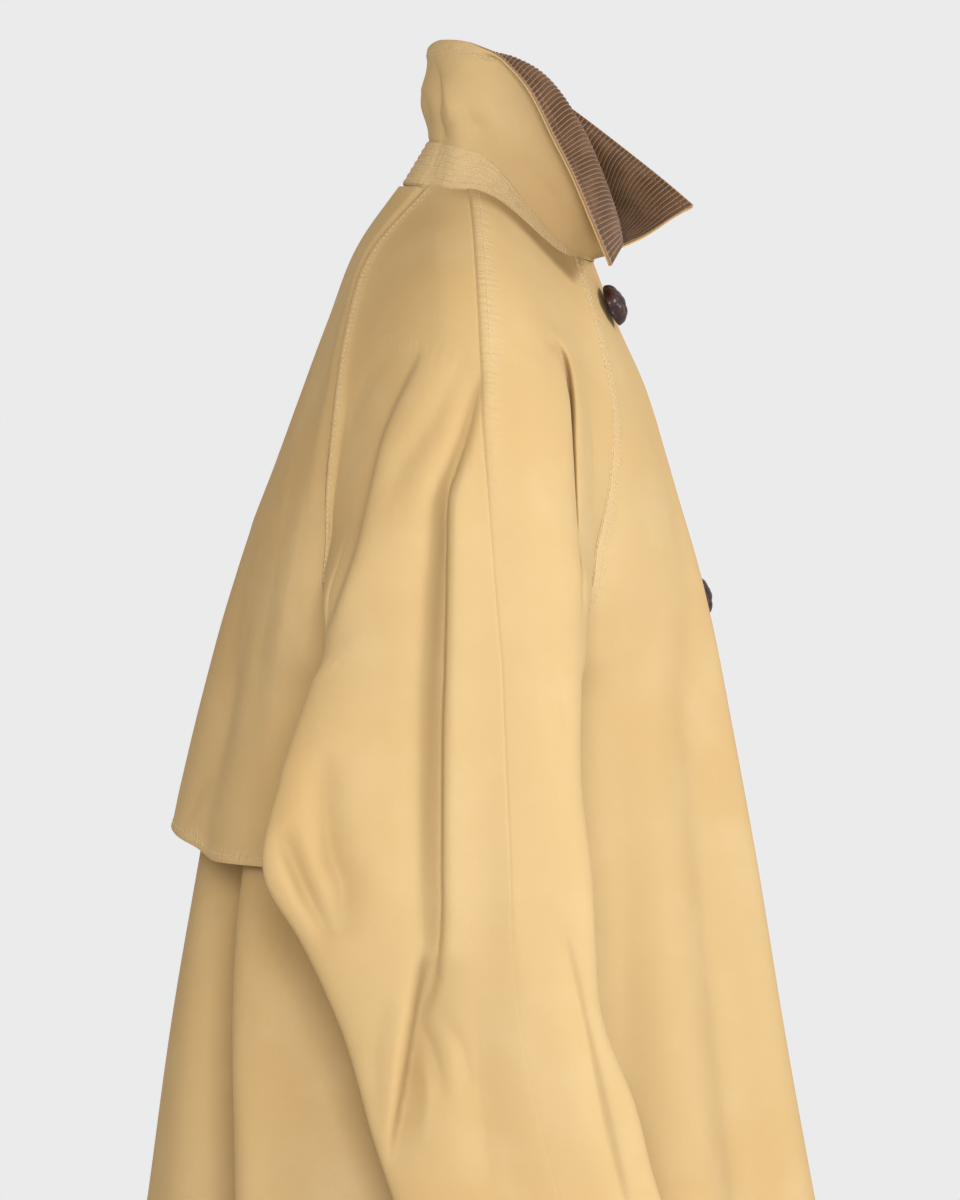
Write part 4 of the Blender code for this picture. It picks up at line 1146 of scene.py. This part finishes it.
def strap_height(u, v):
    """Height of two crossing sets of straps that pass over and under each other, from 0 to 1."""
    heights = []
    for along, over, swap in ((u, v, 0), (v, u, 1)):
        strap = math.floor(over * BUTTON_STRAPS + 0.5)
        across = over * BUTTON_STRAPS - strap
        rise = math.cos(math.pi * (along * BUTTON_STRAPS + strap + swap))
        crown = math.sqrt(max(0, 1 - (STRAP_NARROWING * across) ** 2))
        heights.append(STRAP_LEVEL + STRAP_WEAVE * rise + STRAP_CROWN * crown)
    return max(0.0, min(1.0, max(heights)))


front_drop = CENTRE_FRONT.read("z", body_rows)
patch = np.array([-BUTTON_PATCH, 0.0, BUTTON_PATCH])
for number, (height, across) in enumerate(BUTTONS, 1):
    row = np.interp(-height, -front_drop, body_rows)
    place = across / panel_edge(FRONT_RAGLAN, np.array(row))[0]
    spot = front_panel(row + patch[:, None], place + patch[None, :])
    seat = Vector(spot[1, 1])
    out = Vector(-outwards(spot)[1, 1])
    bm = bmesh.new()
    bmesh.ops.create_uvsphere(bm, u_segments=BUTTON_SEGMENTS, v_segments=BUTTON_RINGS, radius=1)
    strap_layer = bm.verts.layers.float.new("strap")
    turn = math.radians(BUTTON_TURN + BUTTON_TURN_STEP * number)
    for vert in bm.verts:
        u = vert.co.x * math.cos(turn) - vert.co.y * math.sin(turn)
        v = vert.co.x * math.sin(turn) + vert.co.y * math.cos(turn)
        strap = strap_height(u, v)
        vert[strap_layer] = strap
        above_rim = smooth(vert.co.z * RIM_STEEPNESS + RIM_START)
        swell = 1 + STRAP_RELIEF * (strap - STRAP_MIDDLE) * above_rim
        vert.co.x *= BUTTON_RADIUS * swell
        vert.co.y *= BUTTON_RADIUS * swell
        vert.co.z *= (BUTTON_DOME if vert.co.z > 0 else BUTTON_BACK) * swell
    lie = out.to_track_quat("Z", "Y").to_matrix()
    bmesh.ops.rotate(bm, verts=bm.verts[:], matrix=lie)
    bmesh.ops.translate(bm, verts=bm.verts[:], vec=seat + out * BUTTON_LIFT)
    mesh = bpy.data.meshes.new("button_%d_braid" % number)
    bm.to_mesh(mesh)
    bm.free()
    mesh.shade_smooth()
    button = placed(mesh, LEATHER)
    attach(button, "root")
    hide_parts("button_%d" % number)

# The studio: a plain pale floor well below the hem, soft even light all round and three large soft
# lamps, to the right, in front and behind, with a camera far off at the coat's right behind a long lens.
FLOOR_DROP = -1.42
FLOOR_SIZE = 8.0
PALE = (0.80, 0.80, 0.80, 1.0)
ROOM_LIGHT = (0.86, 0.86, 0.865, 1.0)
LAMPS = (
    ((-5.95, -0.20, 0.45), 1.6, 240.0),
    ((-1.45, -5.30, 2.10), 1.6, 245.0),
    ((-4.60, 3.20, 2.20), 1.8, 58.0),
)
LAMP_COLOUR = (1.0, 1.14, 1.42)
LAMP_TARGET = Vector((-0.1, 0.0, -0.35))
CAMERA_DISTANCE = 16.0
FRAME_HEIGHT = 0.84
FRAME_MIDDLE = -0.287
VIEW_DEPTH = 200.0
VIEW_GAMMA = 0.8

bm = bmesh.new()
bmesh.ops.create_grid(bm, x_segments=1, y_segments=1, size=FLOOR_SIZE)
bmesh.ops.translate(bm, verts=bm.verts[:], vec=(0, 0, FLOOR_DROP))
mesh = bpy.data.meshes.new("floor")
bm.to_mesh(mesh)
bm.free()
pale, pale_shader, _ = new_material("pale_floor", 0.9)
pale_shader.inputs["Base Color"].default_value = PALE
floor = placed(mesh, pale)

world = bpy.data.worlds.new("studio")
world.use_nodes = True
world.node_tree.nodes["Background"].inputs["Color"].default_value = ROOM_LIGHT
bpy.context.scene.world = world
bpy.context.scene.view_settings.view_transform = "Standard"
bpy.context.scene.view_settings.gamma = VIEW_GAMMA
for number, (place, size, power) in enumerate(LAMPS, 1):
    lamp = bpy.data.lights.new("softbox_%d" % number, "AREA")
    lamp.size = size
    lamp.energy = power
    lamp.color = LAMP_COLOUR
    softbox = bpy.data.objects.new(lamp.name, lamp)
    softbox.location = place
    softbox.rotation_euler = (LAMP_TARGET - Vector(place)).to_track_quat("-Z", "Y").to_euler()
    bpy.context.scene.collection.objects.link(softbox)

lens = bpy.data.cameras.new("camera")
lens.lens = lens.sensor_width * CAMERA_DISTANCE / FRAME_HEIGHT
lens.clip_end = VIEW_DEPTH
camera = bpy.data.objects.new("camera", lens)
camera.location = (-CAMERA_DISTANCE, 0, FRAME_MIDDLE)
camera.rotation_euler = (math.pi / 2, 0, -math.pi / 2)
bpy.context.scene.collection.objects.link(camera)
bpy.context.scene.camera = camera
